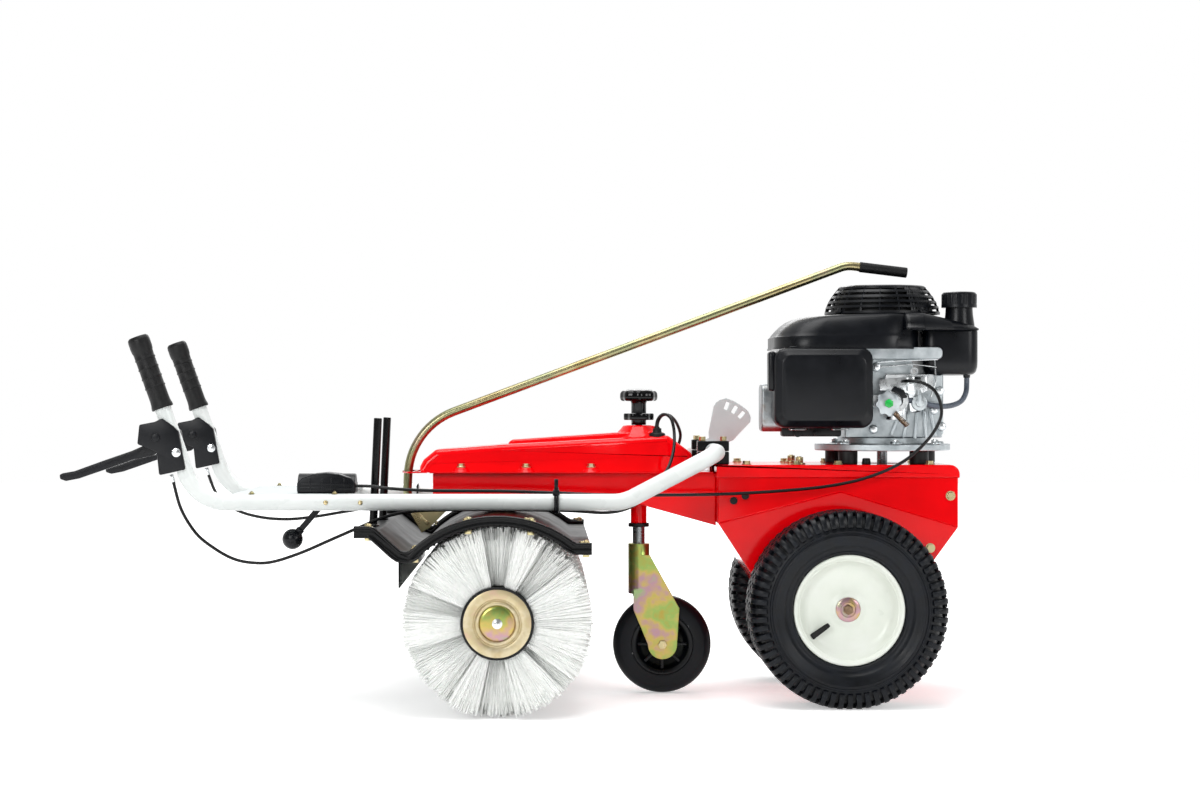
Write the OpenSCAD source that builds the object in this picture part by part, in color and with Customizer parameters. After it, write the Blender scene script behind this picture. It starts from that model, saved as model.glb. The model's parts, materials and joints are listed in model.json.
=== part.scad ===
// Power brush sweeper: a two-wheeled tractor with a brush head on a front arm.
// +X runs from the brush to the engine, +Z is up, and the floor is at zero height.

/* [Layout] */
// Distance from the middle of the machine back to the drive axle
axle_x = 645; // [600:1:700]
// Distance from the drive axle forward to the brush axis
brush_ahead = 704; // [690:1:760]
// Distance from the drive axle forward to the caster stem
caster_ahead = 412; // [400:1:425]
// Distance from the drive axle forward to the handle hinge
handle_ahead = 261; // [255:1:268]
// Distance from the drive axle back to the crankshaft
crank_behind = 106; // [95:1:112]
// Radial clearance of shafts and pivots in their bores
run_gap = 0.05; // [0.02:0.01:0.1]
// Gap between pieces that move past each other
part_gap = 0.5; // [0.3:0.1:1]

/* [Wheels] */
// Tyre outer diameter
wheel_d = 400; // [380:2:410]
// Tyre width
tyre_w = 160; // [140:2:165]
// Diameter over the rim flanges
rim_d = 224; // [210:1:230]
// Distance between the middles of the two tyres
track = 480; // [476:2:540]
// Depth of the flat where a tyre stands on the floor
tyre_flat = 2; // [1:0.5:4]
// Drive axle diameter
axle_d = 25; // [20:1:30]
// Hub washer diameter
hub_washer_d = 50; // [40:1:60]

/* [Chassis] */
// Gap between the chassis and each tyre
wheel_gap = 15; // [12:1:20]
// Sheet thickness of the chassis, arm and covers
sheet = 3; // [2:0.5:4]
// Height of the deck above the floor
deck_top = 487; // [480:1:492]
// Depth of the deck's edge
deck_lip = 27; // [20:1:32]
// Distance from the axle forward to the front of the chassis box
chassis_front = 253; // [250:1:258]
// Distance from the axle back to the rear of the chassis box
chassis_rear = 244; // [235:1:255]
// Height of the chassis floor
chassis_bottom = 140; // [130:1:150]

/* [Arm] */
// Width of the front arm
arm_w = 150; // [140:1:156]
// Height of the arm's rim
arm_top = 468; // [464:1:474]
// Height of the arm's floor
arm_bottom = 402; // [400:1:406]
// Arm length ahead of the brush axis
arm_nose = 143; // [138:1:150]
// Width of the cover's flange
flange_w = 188; // [180:1:196]

/* [Brush] */
// Brush diameter
brush_d = 375; // [350:1:376]
// Brush length over both halves
brush_len = 1000; // [900:10:1010]
// Diameter of the brush core
core_d = 135; // [120:1:140]
// Number of strands round each row
strands = 16; // [12:1:18]
// Number of rows of strands on each half
strand_rows = 11; // [9:2:13]
// Brush shaft diameter
shaft_d = 30; // [26:1:34]

/* [Hood] */
// Height of the hood's crown
hood_crown = 386; // [383:1:388]
// Radius of the hood's skin
hood_r = 232; // [224:1:240]
// Thickness of the hood's skin
hood_t = 4; // [3:0.5:5]
// Height of the end rails on the skin
rail_h = 8; // [6:0.5:8]
// Diameter of the two collector posts
post_d = 17; // [14:1:18]
// Distance between the collector posts
post_span = 300; // [280:2:320]
// Height of the post tops
post_top = 584; // [560:1:590]

/* [Caster] */
// Caster wheel diameter
caster_d = 208; // [198:1:212]
// Caster tyre width
caster_w = 50; // [44:1:54]
// Trail of the wheel behind its stem
caster_trail = 49; // [45:1:52]
// Stem diameter
stem_d = 26; // [24:1:28]
// Height knob diameter
knob_d = 80; // [70:1:84]
// Height of the knob's top
knob_top = 645; // [640:1:650]

/* [Handle] */
// Handle tube diameter
tube_d = 34; // [30:1:34]
// Wall of the handle tubes
tube_wall = 2.5; // [2:0.5:4]
// Distance between the two handle tubes
handle_w = 524; // [510:2:560]
// Height of the handle hinge
hinge_z = 514; // [512:1:518]
// Distance of the first bend ahead of the hinge
bend_ahead = 191; // [185:1:200]
// Drop from the hinge to the straight tubes
handle_drop = 100; // [96:1:100]
// Length of the straight tubes
straight_len = 865; // [850:1:900]
// Length from the last bend to the tube's end
grip_rise = 350; // [340:1:380]
// Lean of the grips from upright, in degrees
grip_lean = 19.6; // [15:0.1:25]
// Length of the grips
grip_len = 154; // [130:1:160]
// Grip diameter
grip_d = 38; // [36:1:42]
// Length of the clutch levers
lever_len = 196; // [170:1:200]

/* [Engine] */
// Height of the rubber mounts
mount_h = 28; // [24:1:30]
// Radius of the engine's base flange
base_r = 143; // [138:1:146]
// Height of the crankcase above the base flange
case_h = 201; // [196:1:205]
// Shroud height
shroud_h = 73; // [68:1:80]
// Lower radius of the starter grille
grille_r = 122; // [116:1:124]
// Grille height
grille_h = 60; // [54:1:62]
// Fuel cap diameter
cap_d = 74; // [70:1:78]
// Crankshaft diameter
crank_d = 22; // [20:1:25]

/* [Swivel lever] */
// Swivel lever tube diameter
rod_d = 17; // [14:1:18]
// Diameter of the swivel lever's grip
rod_grip_d = 22; // [20:1:26]
// Length of that grip
rod_grip_len = 102; // [90:1:104]
// Height of the lever's upper bend above the starter grille
rod_clear = 45; // [40:1:60]

/* [Cables] */
// Cable diameter
cable_d = 6; // [5:0.5:7]
// Fuel hose diameter
hose_d = 10; // [8:0.5:11]

/* [Hidden] */
$fn = 48;
// Sides of a hexagon, a cable and a bent bar, and steps in a bend
hex_sides = 6;
cable_sides = 8;
bar_sides = 16;
bend_steps = 6;
// A direction steeper than this is squared to another axis
steep_share = 0.9;
// Overrun of every cut past the face that it opens
cut = 2;

// Stations along the machine
ax = axle_x;
bx = axle_x - brush_ahead;
sx = axle_x - caster_ahead;
hx = axle_x - handle_ahead;
ex = axle_x + crank_behind;
axle_z = wheel_d / 2 - tyre_flat;
brush_lift = 0.5;
brush_z = brush_d / 2 + brush_lift;
chassis_w = track - tyre_w - 2 * wheel_gap;
half_w = chassis_w / 2;

// Fasteners
bolt_r = 8;
bolt_h = 6;
shaft_bolt_r = 12;
hood_bolt_r = 6.4;
side_bolts = [[16, 65], [58, -43]];
deck_bolt_shares = [-0.79, -0.37, -0.01, 0.77];
washer_r = 10;
washer_t = 2;

// Wheels
rim_wall = 4;
rim_lip = 12;
seat_r = rim_d / 2 - rim_lip;
rim_half_share = 0.3875;
rim_half = tyre_w * rim_half_share;
bead_gap = 0.1;
disc_recess = 30;
hub_r = 24;
hub_back = 40;
shaft_r = axle_d / 2;
axle_bolt_r = 13;
axle_inner_gap = 2;
// Tyre section: height above the bead seat and half width, as shares of the section
tyre_outer_shares = [[0, 0.72], [0.125, 0.72], [0.16, 0.8], [0.3, 0.92], [0.5, 1], [0.68, 0.985], [0.82,
    0.92],
    [0.92, 0.83], [0.98, 0.7], [1, 0.5]];
tyre_inner_shares = [[0.9, 0.5], [0.86, 0.68], [0.74, 0.82], [0.5, 0.88], [0.3, 0.8], [0.14, 0.64],
    [0, 0.56]];

// Chassis
chassis_slope_front = 148;
chassis_slope_rear = 159;
shoulder_z = 366;
shoulder_rear_z = 358;
crease_t = 2;
crease_rise = 130;
lid_gap = 0.3;
lid_front = 290;
lid_radius = 20;
belt_hole_w = 130;
belt_hole_z = 378;
slot_w = 14;
slot_rear = 121;

// Arm and its cover
arm_slope_x = 412;
arm_drop = 44;
lip_t = 3;
flange_under = 30;
lip_reach = 211;
rod_arc_r = 198;
swivel_limit = 15;
slot_play = 4;
rod_a = asin(rod_d / 2 / rod_arc_r);
slot_a = swivel_limit + 2 * rod_a;
lip_a = swivel_limit + 4 * rod_a;
cover_w = 144;
cover_nose = 179;
cover_rise = 48;
cover_front_top = 149;
cover_mid_z = 60;
cover_shoulder = 341;
cover_shoulder_z = 78;
cover_end = 396;
cover_end_z = 38;
spine_w = 84;
spine_rise = 12;
boss_r = 34;
boss_z = 568;
pad_r = 12;
pad_h = 12;
pad_shares = [0.12, 0.37, 0.62];

// Caster
socket_wall = 4;
socket_bottom = 360;
socket_top = 455;
seal_t = 8;
seal_r = 22;
stem_bottom = 205;
stem_top = 440;
spindle_r = 8;
spindle_bottom = 352;
spindle_play = 0.3;
stem_bore_bottom = 325;
sleeve_r = 22.5;
sleeve_top = 317;
sleeve_bottom = 211;
fork_top = 293;
fork_wide_z = 181;
fork_wide = 36;
fork_heel = 10;
fork_heel_z = 177;
fork_t = 6;
fork_gap = 4;
fork_eye_r = 31;
fork_y = caster_w / 2 + fork_gap;
caster_bolt_r = 6;
caster_head_r = 9.6;
caster_crown = 6;
caster_hub_r = 20;
caster_rim_r = 66;
caster_barrel = 6;
caster_spokes = 5;
spoke_t = 8;
spoke_w = 22;
caster_z = caster_d / 2;
caster_x = sx + caster_trail;
knob_h = 28;
knob_lobes = 6;
lobe_r = 11;
knob_neck_r = 15.5;
knob_neck_h = 20;
nut_r = 30;
nut_h = 15;
nut_hub_r = 16;
nut_z = 578;

// Handle
tube_r = tube_d / 2;
elbow_r = 45;
bend_r = 90;
corner_r = 85;
clamp_x = 66;
clamp_y = 30;
clamp_at = 100;
clamp_top = 536;
clamp_split = 1;
clamp_bolt_at = 22;
clamp_bolt_r = 7;
clamp_bolt_h = 9;
sector_t = 6;
sector_r = 117;
sector_hub_r = 26;
sector_slots = 3;
sector_slot_r = 8;
sector_slot_len = 17;
sector_slot_share = 1.4;
sector_first_a = 48.5;
sector_step_a = 10.4;
sector_shares = [[0, 0], [0.426, 0.19], [0.735, 0.518], [0.748, 0.6], [0.7, 0.72], [0.7, 1], [0.298, 1.1],
    [0.298, 0.955], [0.19, 0.925], [0.11, 0.87], [0.071, 0.8], [-0.02, 0.336]];
panel_top = 431;
panel_t = 6;
panel_rear = 757;
panel_len = 227;
bend_x = hx - bend_ahead;
straight_z = hinge_z - handle_drop;
corner_x = bend_x - straight_len;
handle_y = handle_w / 2;

// Levers, in the frame of the grip
bracket_r = 24;
bracket_low = 62;
lug_low = 70;
cable_lead = 16;
bracket_high = 185;
pivot_up = 150;
pivot_out = 30;
lug_half = 15;
lever_t = 12;
lever_play = 1;
lever_hub_r = 9;
lever_tip_h = 13;
lever_droop = 8;
lever_waist_shares = [0.3, 0.7];
lever_pin_r = 4;
grip_wall_end = 6;
grip_flare = 2;

// Throttle control
box_len = 117;
box_over = 20;
box_in = 57;
box_y = handle_y - box_in;
box_half = 35;
box_base = 5;
throttle_x = 1060;
throttle_drop = 15;
throttle_len = 92;
throttle_angle = 49.4;
throttle_w = 12;
throttle_t = 8;
throttle_hub_r = 9;
throttle_pin_r = 3.5;
cheek_t = 5;
ball_r = 21;
ball_up_share = 0.6;
ball_neck_r = 8;
collar_w = 16;
collar_h = 14;

// Engine
base_t = 14;
engine_z = deck_top + mount_h;
mount_r = 20;
mount_shares = [[-0.58, -0.6], [0.46, -0.6], [-0.64, 0.6], [0.74, 0.6]];
sump_r = 94;
block_y = 95;
block_front = 90;
block_rear = 113;
block_step = 52;
block_low_share = 0.7214;
block_low_h = block_low_share * case_h;
barrel_front = 196;
barrel_half = 58;
barrel_share = 0.597;
barrel_z = barrel_share * case_h;
fins = 6;
fin_t = 4;
fin_rise = 14;
shroud_front = 237;
shroud_rear = 66;
shroud_y = 150;
shroud_round = 84;
shroud_z = engine_z + base_t + case_h;
shroud_top = shroud_z + shroud_h;
shroud_wall = 3;
shroud_band = 26;
shroud_taper = 0.88;
shelf_in = 10;
shelf_lap = 6;
shelf_gap = 1;
shelf_edge = 6;
grille_top_share = 0.72;
grille_slots = 20;
slot_gap = 7;
grille_wall = 3;
fly_r = 56;
fly_h = 14;
fly_drop = 30;
vanes = 12;
vane_h = 16;
vane_t = 4;
vane_shares = [0.55, 0.96];
tank_front = 74;
tank_rear = 189;
tank_low = base_t + block_low_h;
tank_h = 94;
tank_y = 105;
tank_round = 24;
neck_r = 28;
neck_h = 75;
neck_x = 154;
neck_y = 60;
cap_h = 34;
cap_wall = 5;
cleaner_front = 244;
cleaner_len = 205;
cleaner_low = 48;
cleaner_gap = 1;
cleaner_h = base_t + case_h - cleaner_low - cleaner_gap;
cleaner_near = 170;
cleaner_deep = 62;
cleaner_round = 20;
duct_in = 23;
cleaner_step = 6;
cleaner_edge = 8;
cleaner_taper = 0.92;
carb_r = 22;
carb_x = 14;
carb_z = 105;
carb_len = 45;
bowl_r = 24;
bowl_h = 40;
plate_len = 100;
plate_t = 4;
plate_h = 34;
plate_z = 126;
duct_h = 24;
muffler_front = 264;
muffler_len = 62;
muffler_half = 38;
muffler_y = 50;
muffler_low = 40;
muffler_h = 100;
muffler_round = 18;
pipe_r = 16;
pulley_r = 42;
brush_pulley_r = 55;
pulley_t = 20;
groove = 8;
belt_t = 10;
belt_z = 440;
belt_gap = 0.3;
crank_low = 424;

// Transaxle
trans_half = 60;
trans_x = 150;
trans_z = 110;
trans_drop = 52;
trumpet_r = 24;
trumpet_flange_r = 36;
flange_t = 5;

// Brush head
gear_case_r = 58;
gear_case_half = 32;
gear_case_wall = 5;
neck_tube_r = 34;
journal_r = 30;
journal_flange_r = 38;
journal_flange_t = 5;
drive_r = 12;
cone_len = 40;
cone_face_share = 0.7;
pinion_teeth = 10;
gear_teeth = 20;
pinion_r = 20;
gear_r = 40;
tooth_up = 1.4;
pinion_root = 2.4;
gear_root = 3.4;
tooth_shares = [0.26, 0.16];
core_wall = 5;
core_start = 38;
core_web = 5;
disc_t = 4;
disc_ring_t = 3;
disc_ring_r = 71;
disc_plate_share = 0.33;
backing_t = 5;
backing_gap = 0.4;
strand_share = 0.5;
strand_deep = 18;
strand_end = 6;
hood_flange_z = 360;
hood_left = 276;
hood_flange_len = 35;
trough_z = 318;
trough_left = 190;
trough_right = 170;
hood_right_dx = 146;
hood_right = 183;
hood_over = 5;
rail_w = 22;
skirt_t = 3;
skirt_h = 56;
post_lean = 10;
post_x = 263;
post_foot_r = 13;
post_foot_h = 4;
post_sink_share = 0.02;
hood_bolt_marks = [8, 13];
hood_bolt_share = 0.75;
hood_bolt_flanges = [hood_bolt_share * hood_flange_len - hood_left, (hood_right_dx + hood_right) / 2];
yoke_t = 6;
yoke_w = 60;
plate_gap = 9.2;
gusset_t = 5;
gusset_shares = [[1, 0.62], [0.98, 1], [0, 1], [0, 0.78], [0.5, 0.16], [0.72, 0]];
gusset_x = 115;
gusset_len = 76;
gusset_h = 62;
foot_x = 158;
foot_z = 378;
rod_knee_x = 201;
rod_knee_z = 410;
rod_shoulder_x = 195;
rod_shoulder_z = 562;
rod_bend_x = 734;
rod_end_x = 857;
rod_end_drop = 15;
rod_top = shroud_top + grille_h + rod_clear;
knee_r = 40;
shoulder_r = 150;
top_r = 60;

// Cable routes: hand-chosen points between the lever brackets, the grommets and the control plate
grommet_share = 1.5;
grommet_back = 37;
grommet_top = 562;
grommet_lead = 12;
grommet_ys = [-50, -12];
hose_behind = 170;
hose_lead = 18;
grommet_r = grommet_share * cable_d;
grommet_low = arm_top + cover_shoulder_z - 2 * sheet;
function grip_point(s, x, z) = [corner_x + x * cos(grip_lean) - z * sin(grip_lean), s * handle_y,
    straight_z + x * sin(grip_lean) + z * cos(grip_lean)];
function cable_start(s) = [for (d = [0, cable_lead]) grip_point(s, -pivot_out, lug_low - d)];
function beside(s, list) = [for (p = list) [p[0], s * (handle_y + p[1]), p[2]]];
grommet_x = sx + grommet_back;
function grommet(y) = [grommet_x, y, grommet_top];
left_route = concat(cable_start(-1), beside(-1, [[-702, 4, 400], [-672, 6, 352], [-636, 6, 322],
    [-596, 6, 300], [-556, 6, 292], [-516, 4, 294], [-460, 0, 312], [-400, -6, 338], [-340, -13, 364],
    [-290, -19, 384], [-220, -23, 396], [-60, -24, 398], [80, -24, 396], [160, -26, 392]]),
    [[210, -228, 404], [250, -208, 436], [284, -176, 476], [302, -136, 516], [304, -100, 556],
    [296, -72, 584], [281, -56, 591], [271, -50, 582], grommet(grommet_ys[0]) + [0, 0, grommet_lead],
    grommet(grommet_ys[0])]);
right_route = concat(cable_start(1), beside(1, [[-698, 4, 408], [-656, 4, 376], [-600, 0, 360],
    [-540, -4, 356], [-480, -10, 362], [-420, -15, 372], [-360, -20, 382], [-290, -23, 392],
    [-200, -24, 398], [-40, -24, 398], [120, -25, 396]]),
    [[190, 228, 402], [240, 204, 424], [280, 164, 462], [312, 120, 502], [326, 84, 540],
    [320, 52, 570], [302, 20, 588], [284, -4, 589], [272, -12, 582],
    grommet(grommet_ys[1]) + [0, 0, grommet_lead], grommet(grommet_ys[1])]);
throttle_route = concat(beside(-1, [[-353, -36, 446], [-336, -36, 446], [-312, -31, 445], [-280, -25, 441],
    [-200, -24, 437], [-60, -24, 436], [60, -24, 432], [160, -28, 428]]),
    [[280, -214, 427], [400, -188, 428], [520, -172, 434], [620, -168, 444], [700, -166, 462],
    [772, -166, 494], [822, -166, 538], [848, -166, 580], [850, -164, 612], [838, -160, 640],
    [818, -153, 655], [796, -144, 661], [781, -134, 661], [776, -124, 660], [776, -112, 660]]);
hose_top = [ex + hose_behind, -neck_y, engine_z + tank_low];
hose_route = [hose_top, hose_top - [0, 0, hose_lead], [917, -72, 636], [903, -91, 618], [877, -106, 609],
    [846, -114, 609], [822, -117.5, 615], [806, -117.5, 620], [787.3, -117.5, 620]];

// Vector helpers
function unit(v) = v / norm(v);
function arc(c, r, a0, a1, n) =
    [for (i = [0 : n]) let (a = a0 + (a1 - a0) * i / n) [c[0] + r * cos(a), c[1] + r * sin(a)]];
function round_box(w, h, r) = concat(
    arc([w / 2 - r, h / 2 - r], r, 0, 90, 6), arc([r - w / 2, h / 2 - r], r, 90, 180, 6),
    arc([r - w / 2, r - h / 2], r, 180, 270, 6), arc([w / 2 - r, r - h / 2], r, 270, 360, 6));

// A profile drawn in X and Z, drawn out along Y
module along_y(y0, len) translate([0, y0 + len, 0]) rotate([90, 0, 0]) linear_extrude(len) children();
module y_rod(x, z, r, y0, len) translate([x, y0 + len, z]) rotate([90, 0, 0]) cylinder(r = r, h = len);
module x_rod(y, z, r, x0, len) translate([x0, y, z]) rotate([0, 90, 0]) cylinder(r = r, h = len);
module z_rod(x, y, r, z0, len) translate([x, y, z0]) cylinder(r = r, h = len);
module block(x, y, z) translate([x[0], y[0], z[0]]) cube([x[1] - x[0], y[1] - y[0], z[1] - z[0]]);
module hex_bolt() {
    cylinder(r = washer_r, h = washer_t);
    cylinder(r = bolt_r, h = washer_t + bolt_h, $fn = hex_sides);
}

// Places a child drawn along Z on the line from a to b
module on_line(a, b) {
    d = unit(b - a);
    s = abs(d[1]) > steep_share ? [1, 0, 0] : [0, 1, 0];
    u = unit(cross(s, d));
    v = cross(d, u);
    multmatrix([[u[0], v[0], d[0], a[0]], [u[1], v[1], d[1], a[1]], [u[2], v[2], d[2], a[2]], [0, 0, 0, 1]])
        children();
}

// The middle line through corner points, with a round bend of its own radius at each corner
function turn(p, i) = acos(unit(p[i] - p[i - 1]) * unit(p[i + 1] - p[i]));
function bend(p, i, r) =
    let (u = unit(p[i] - p[i - 1]), d = unit(p[i + 1] - p[i]), w = unit(d - (u * d) * u), a = turn(p, i))
    let (c = p[i] - u * r * tan(a / 2) + w * r)
    [for (k = [0 : bend_steps]) c + r * (sin(a * k / bend_steps) * u - cos(a * k / bend_steps) * w)];
function bar_line(p, rs) = concat([p[0]], [for (i = [1 : len(p) - 2]) each bend(p, i, rs[i - 1])],
    [p[len(p) - 1]]);

// A round bar or cable swept along a line of points, with a bore where it has a wall
function ways(p) = [for (i = [0 : len(p) - 1])
    unit((i > 0 ? unit(p[i] - p[i - 1]) : [0, 0, 0]) + (i < len(p) - 1 ? unit(p[i + 1] - p[i]) : [0, 0,
        0]))];
function square_to(t) = unit(cross(t, abs(t[2]) > steep_share ? [1, 0, 0] : [0, 0, 1]));
function turned(t) = [for (i = 0, u = square_to(t[0]); i < len(t);
    i = i + 1, u = i < len(t) ? unit(u - (u * t[i]) * t[i]) : u) u];
function skin(p, r, s) = let (t = ways(p), us = turned(t))
    [for (i = [0 : len(p) - 1]) let (v = cross(t[i], us[i])) for (k = [0 : s - 1])
        p[i] + r * (cos(360 * k / s) * us[i] + sin(360 * k / s) * v)];
function wall_faces(n, s, first, inward) = [for (i = [0 : n - 2]) for (k = [0 : s - 1])
    let (a = first + i * s + k, b = first + i * s + (k + 1) % s)
    for (f = inward ? [[a, b, b + s], [a, b + s, a + s]] : [[a, b + s, b], [a, a + s, b + s]]) f];
module swept(p, r, wall, s) {
    n = len(p);
    m = n * s;
    end = (n - 1) * s;
    if (wall > 0) polyhedron(concat(skin(p, r, s), skin(p, r - wall, s)), concat(
        wall_faces(n, s, 0, false), wall_faces(n, s, m, true),
        [for (k = [0 : s - 1]) let (l = (k + 1) % s) for (f = [[k, l, m + l], [k, m + l, m + k]]) f],
        [for (k = [0 : s - 1]) let (l = (k + 1) % s)
            for (f = [[end + l, end + k, m + end + k], [end + l, m + end + k, m + end + l]]) f]));
    else polyhedron(skin(p, r, s), concat(wall_faces(n, s, 0, false),
        [for (k = [1 : s - 2]) [0, k, k + 1]], [for (k = [1 : s - 2]) [end, end + k + 1, end + k]]));
}
module cable(route, d) swept(route, d / 2, 0, cable_sides);
module bent_bar(p, rs, r, wall = 0) swept(bar_line(p, rs), r, wall, bar_sides);

// Wheels
function tyre_points(list, side) =
    [for (p = list) [seat_r + p[0] * (wheel_d / 2 - seat_r), side * p[1] * tyre_w / 2]];
function backwards(list) = [for (i = [len(list) - 1 : -1 : 0]) list[i]];
module tyre(side) {
    outer = tyre_points(tyre_outer_shares, 1);
    inner = tyre_points(tyre_inner_shares, 1);
    far_outer = tyre_points(tyre_outer_shares, -1);
    far_inner = tyre_points(tyre_inner_shares, -1);
    color("#26282b") intersection() {
        translate([ax, side * track / 2, axle_z]) rotate([90, 0, 0]) rotate_extrude($fn = 96)
            polygon(concat(outer, backwards(far_outer), backwards(far_inner), inner));
        block([ax - wheel_d, ax + wheel_d], [-track, track], [0, 2 * wheel_d]);
    }
}
module rim(side) {
    color("#e6e8e8") translate([ax, side * track / 2, axle_z]) rotate([-90 * side, 0,
        0]) rotate_extrude($fn = 96) {
        translate([seat_r - rim_wall - bead_gap, -rim_half]) square([rim_wall, 2 * rim_half]);
        for (w = [-rim_half, rim_half - rim_wall])
            translate([seat_r - rim_wall - bead_gap, w]) square([rim_d / 2 - seat_r + rim_wall, rim_wall]);
        translate([hub_r - cut, rim_half - disc_recess]) square([seat_r - rim_wall - hub_r + cut,
            rim_wall]);
        translate([shaft_r + run_gap, -hub_back]) square([hub_r - shaft_r - run_gap,
            rim_half + hub_back - disc_recess + 2 * rim_wall]);
    }
}
module wheel_axle(side) {
    out = track / 2 + rim_half - disc_recess + 2 * rim_wall;
    color("#c9b458") translate([ax, 0, axle_z]) rotate([-90 * side, 0, 0]) {
        translate([0, 0, axle_inner_gap]) cylinder(r = shaft_r, h = out - axle_inner_gap);
        translate([0, 0, out]) cylinder(r = hub_washer_d / 2, h = rim_wall);
        translate([0, 0, out]) cylinder(r = axle_bolt_r, h = rim_wall + bolt_r, $fn = hex_sides);
    }
}
module left_tyre() tyre(-1);
module right_tyre() tyre(1);
module left_rim() rim(-1);
module right_rim() rim(1);
module left_axle() wheel_axle(-1);
module right_axle() wheel_axle(1);

// Chassis
function chassis_side(t) = [[ax - chassis_front + t, deck_top - sheet], [ax - chassis_front + t,
    shoulder_z],
    [ax - chassis_front + chassis_slope_front + t, chassis_bottom + t],
    [ax + chassis_rear - chassis_slope_rear - t, chassis_bottom + t], [ax + chassis_rear - t,
        shoulder_rear_z],
    [ax + chassis_rear - t, deck_top - lid_radius - sheet], [ax + chassis_rear - lid_radius - t,
        deck_top - sheet]];
module chassis_housing() {
    color("#d8262c") difference() {
        union() {
            along_y(-half_w, chassis_w) polygon(chassis_side(0));
            for (s = [-1, 1]) along_y(s * half_w - (s < 0 ? crease_t : 0), crease_t) polygon([
                [ax - chassis_front, shoulder_z], [ax - chassis_front + chassis_slope_front,
                    chassis_bottom],
                [ax + chassis_rear - chassis_slope_rear, chassis_bottom], [ax + chassis_rear,
                    shoulder_rear_z],
                [ax, shoulder_z + crease_rise / 2]]);
        }
        along_y(-half_w + sheet, chassis_w - 2 * sheet) polygon(concat(chassis_side(sheet),
            [[ax + chassis_rear - lid_radius - sheet, deck_top + cut], [ax - chassis_front + sheet,
                deck_top + cut]]));
        block([ax - chassis_front - cut, ax - chassis_front + sheet + cut], [-belt_hole_w / 2,
            belt_hole_w / 2],
            [belt_hole_z, deck_top]);
        y_rod(ax, axle_z, trumpet_r - flange_t, -half_w - 2 * cut, chassis_w + 4 * cut);
    }
}
module deck_plate() {
    w = chassis_w + 2 * (lid_gap + sheet);
    front = ax - lid_front;
    rear = ax + chassis_rear + lid_gap + sheet;
    low = deck_top - deck_lip;
    lid = concat([[front, low], [front, deck_top]],
        backwards(arc([rear - lid_radius, deck_top - lid_radius], lid_radius, 0, 90, 8)), [[rear, low]]);
    color("#d8262c") difference() {
        along_y(-w / 2, w) polygon(lid);
        along_y(-half_w - lid_gap, chassis_w + 2 * lid_gap) polygon([
            [ax - chassis_front - lid_gap, low - cut], [ax - chassis_front - lid_gap, deck_top - sheet],
            [rear - lid_radius, deck_top - sheet], [rear - sheet, deck_top - lid_radius], [rear - sheet,
                low - cut]]);
        block([front - cut, ax - chassis_front], [-arm_w / 2 - lid_gap, arm_w / 2 + lid_gap], [low - cut,
            deck_top - sheet]);
        block([front - cut, ax - chassis_front - lid_gap - sheet], [-w, w], [low - cut, deck_top - sheet]);
        block([front - cut, hx + slot_rear], [-slot_w / 2, slot_w / 2], [low, deck_top + cut]);
        z_rod(ex, 0, pulley_r, deck_top - 2 * sheet, 4 * sheet);
    }
}

// Arm
function arm_side(t) = [[bx - arm_nose + t, arm_top + (t > 0 ? cut : 0)], [bx - arm_nose + t,
    arm_bottom + t],
    [ax - arm_slope_x, arm_bottom + t], [ax - chassis_front, arm_bottom - arm_drop + t],
    [ax - chassis_front, arm_top + (t > 0 ? cut : 0)]];
module front_arm() {
    color("#d8262c") difference() {
        along_y(-arm_w / 2, arm_w) polygon(arm_side(0));
        along_y(-arm_w / 2 + sheet, arm_w - 2 * sheet) polygon(arm_side(sheet));
        block([ax - chassis_front - sheet, ax], [-arm_w / 2 + sheet, arm_w / 2 - sheet],
            [arm_bottom - arm_drop + sheet, arm_top + cut]);
        z_rod(bx, 0, journal_r + run_gap, arm_bottom - cut, sheet + 2 * cut);
        z_rod(sx, 0, stem_d / 2 + socket_wall + bead_gap, arm_bottom - arm_drop, arm_drop + sheet + cut);
    }
}
function cover_line(t) = [[bx - cover_nose + 2 * t, arm_top - (t > 0 ? cut : 0)],
    [bx - cover_nose + 2 * t, arm_top + lip_t], [bx - cover_front_top + t, arm_top + cover_rise - t],
    [bx, arm_top + cover_mid_z - t], [bx + cover_shoulder - t, arm_top + cover_shoulder_z - t],
    [bx + cover_end - 2 * t, arm_top + cover_end_z - t], [bx + cover_end - 2 * t,
        arm_top - (t > 0 ? cut : 0)]];
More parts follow.
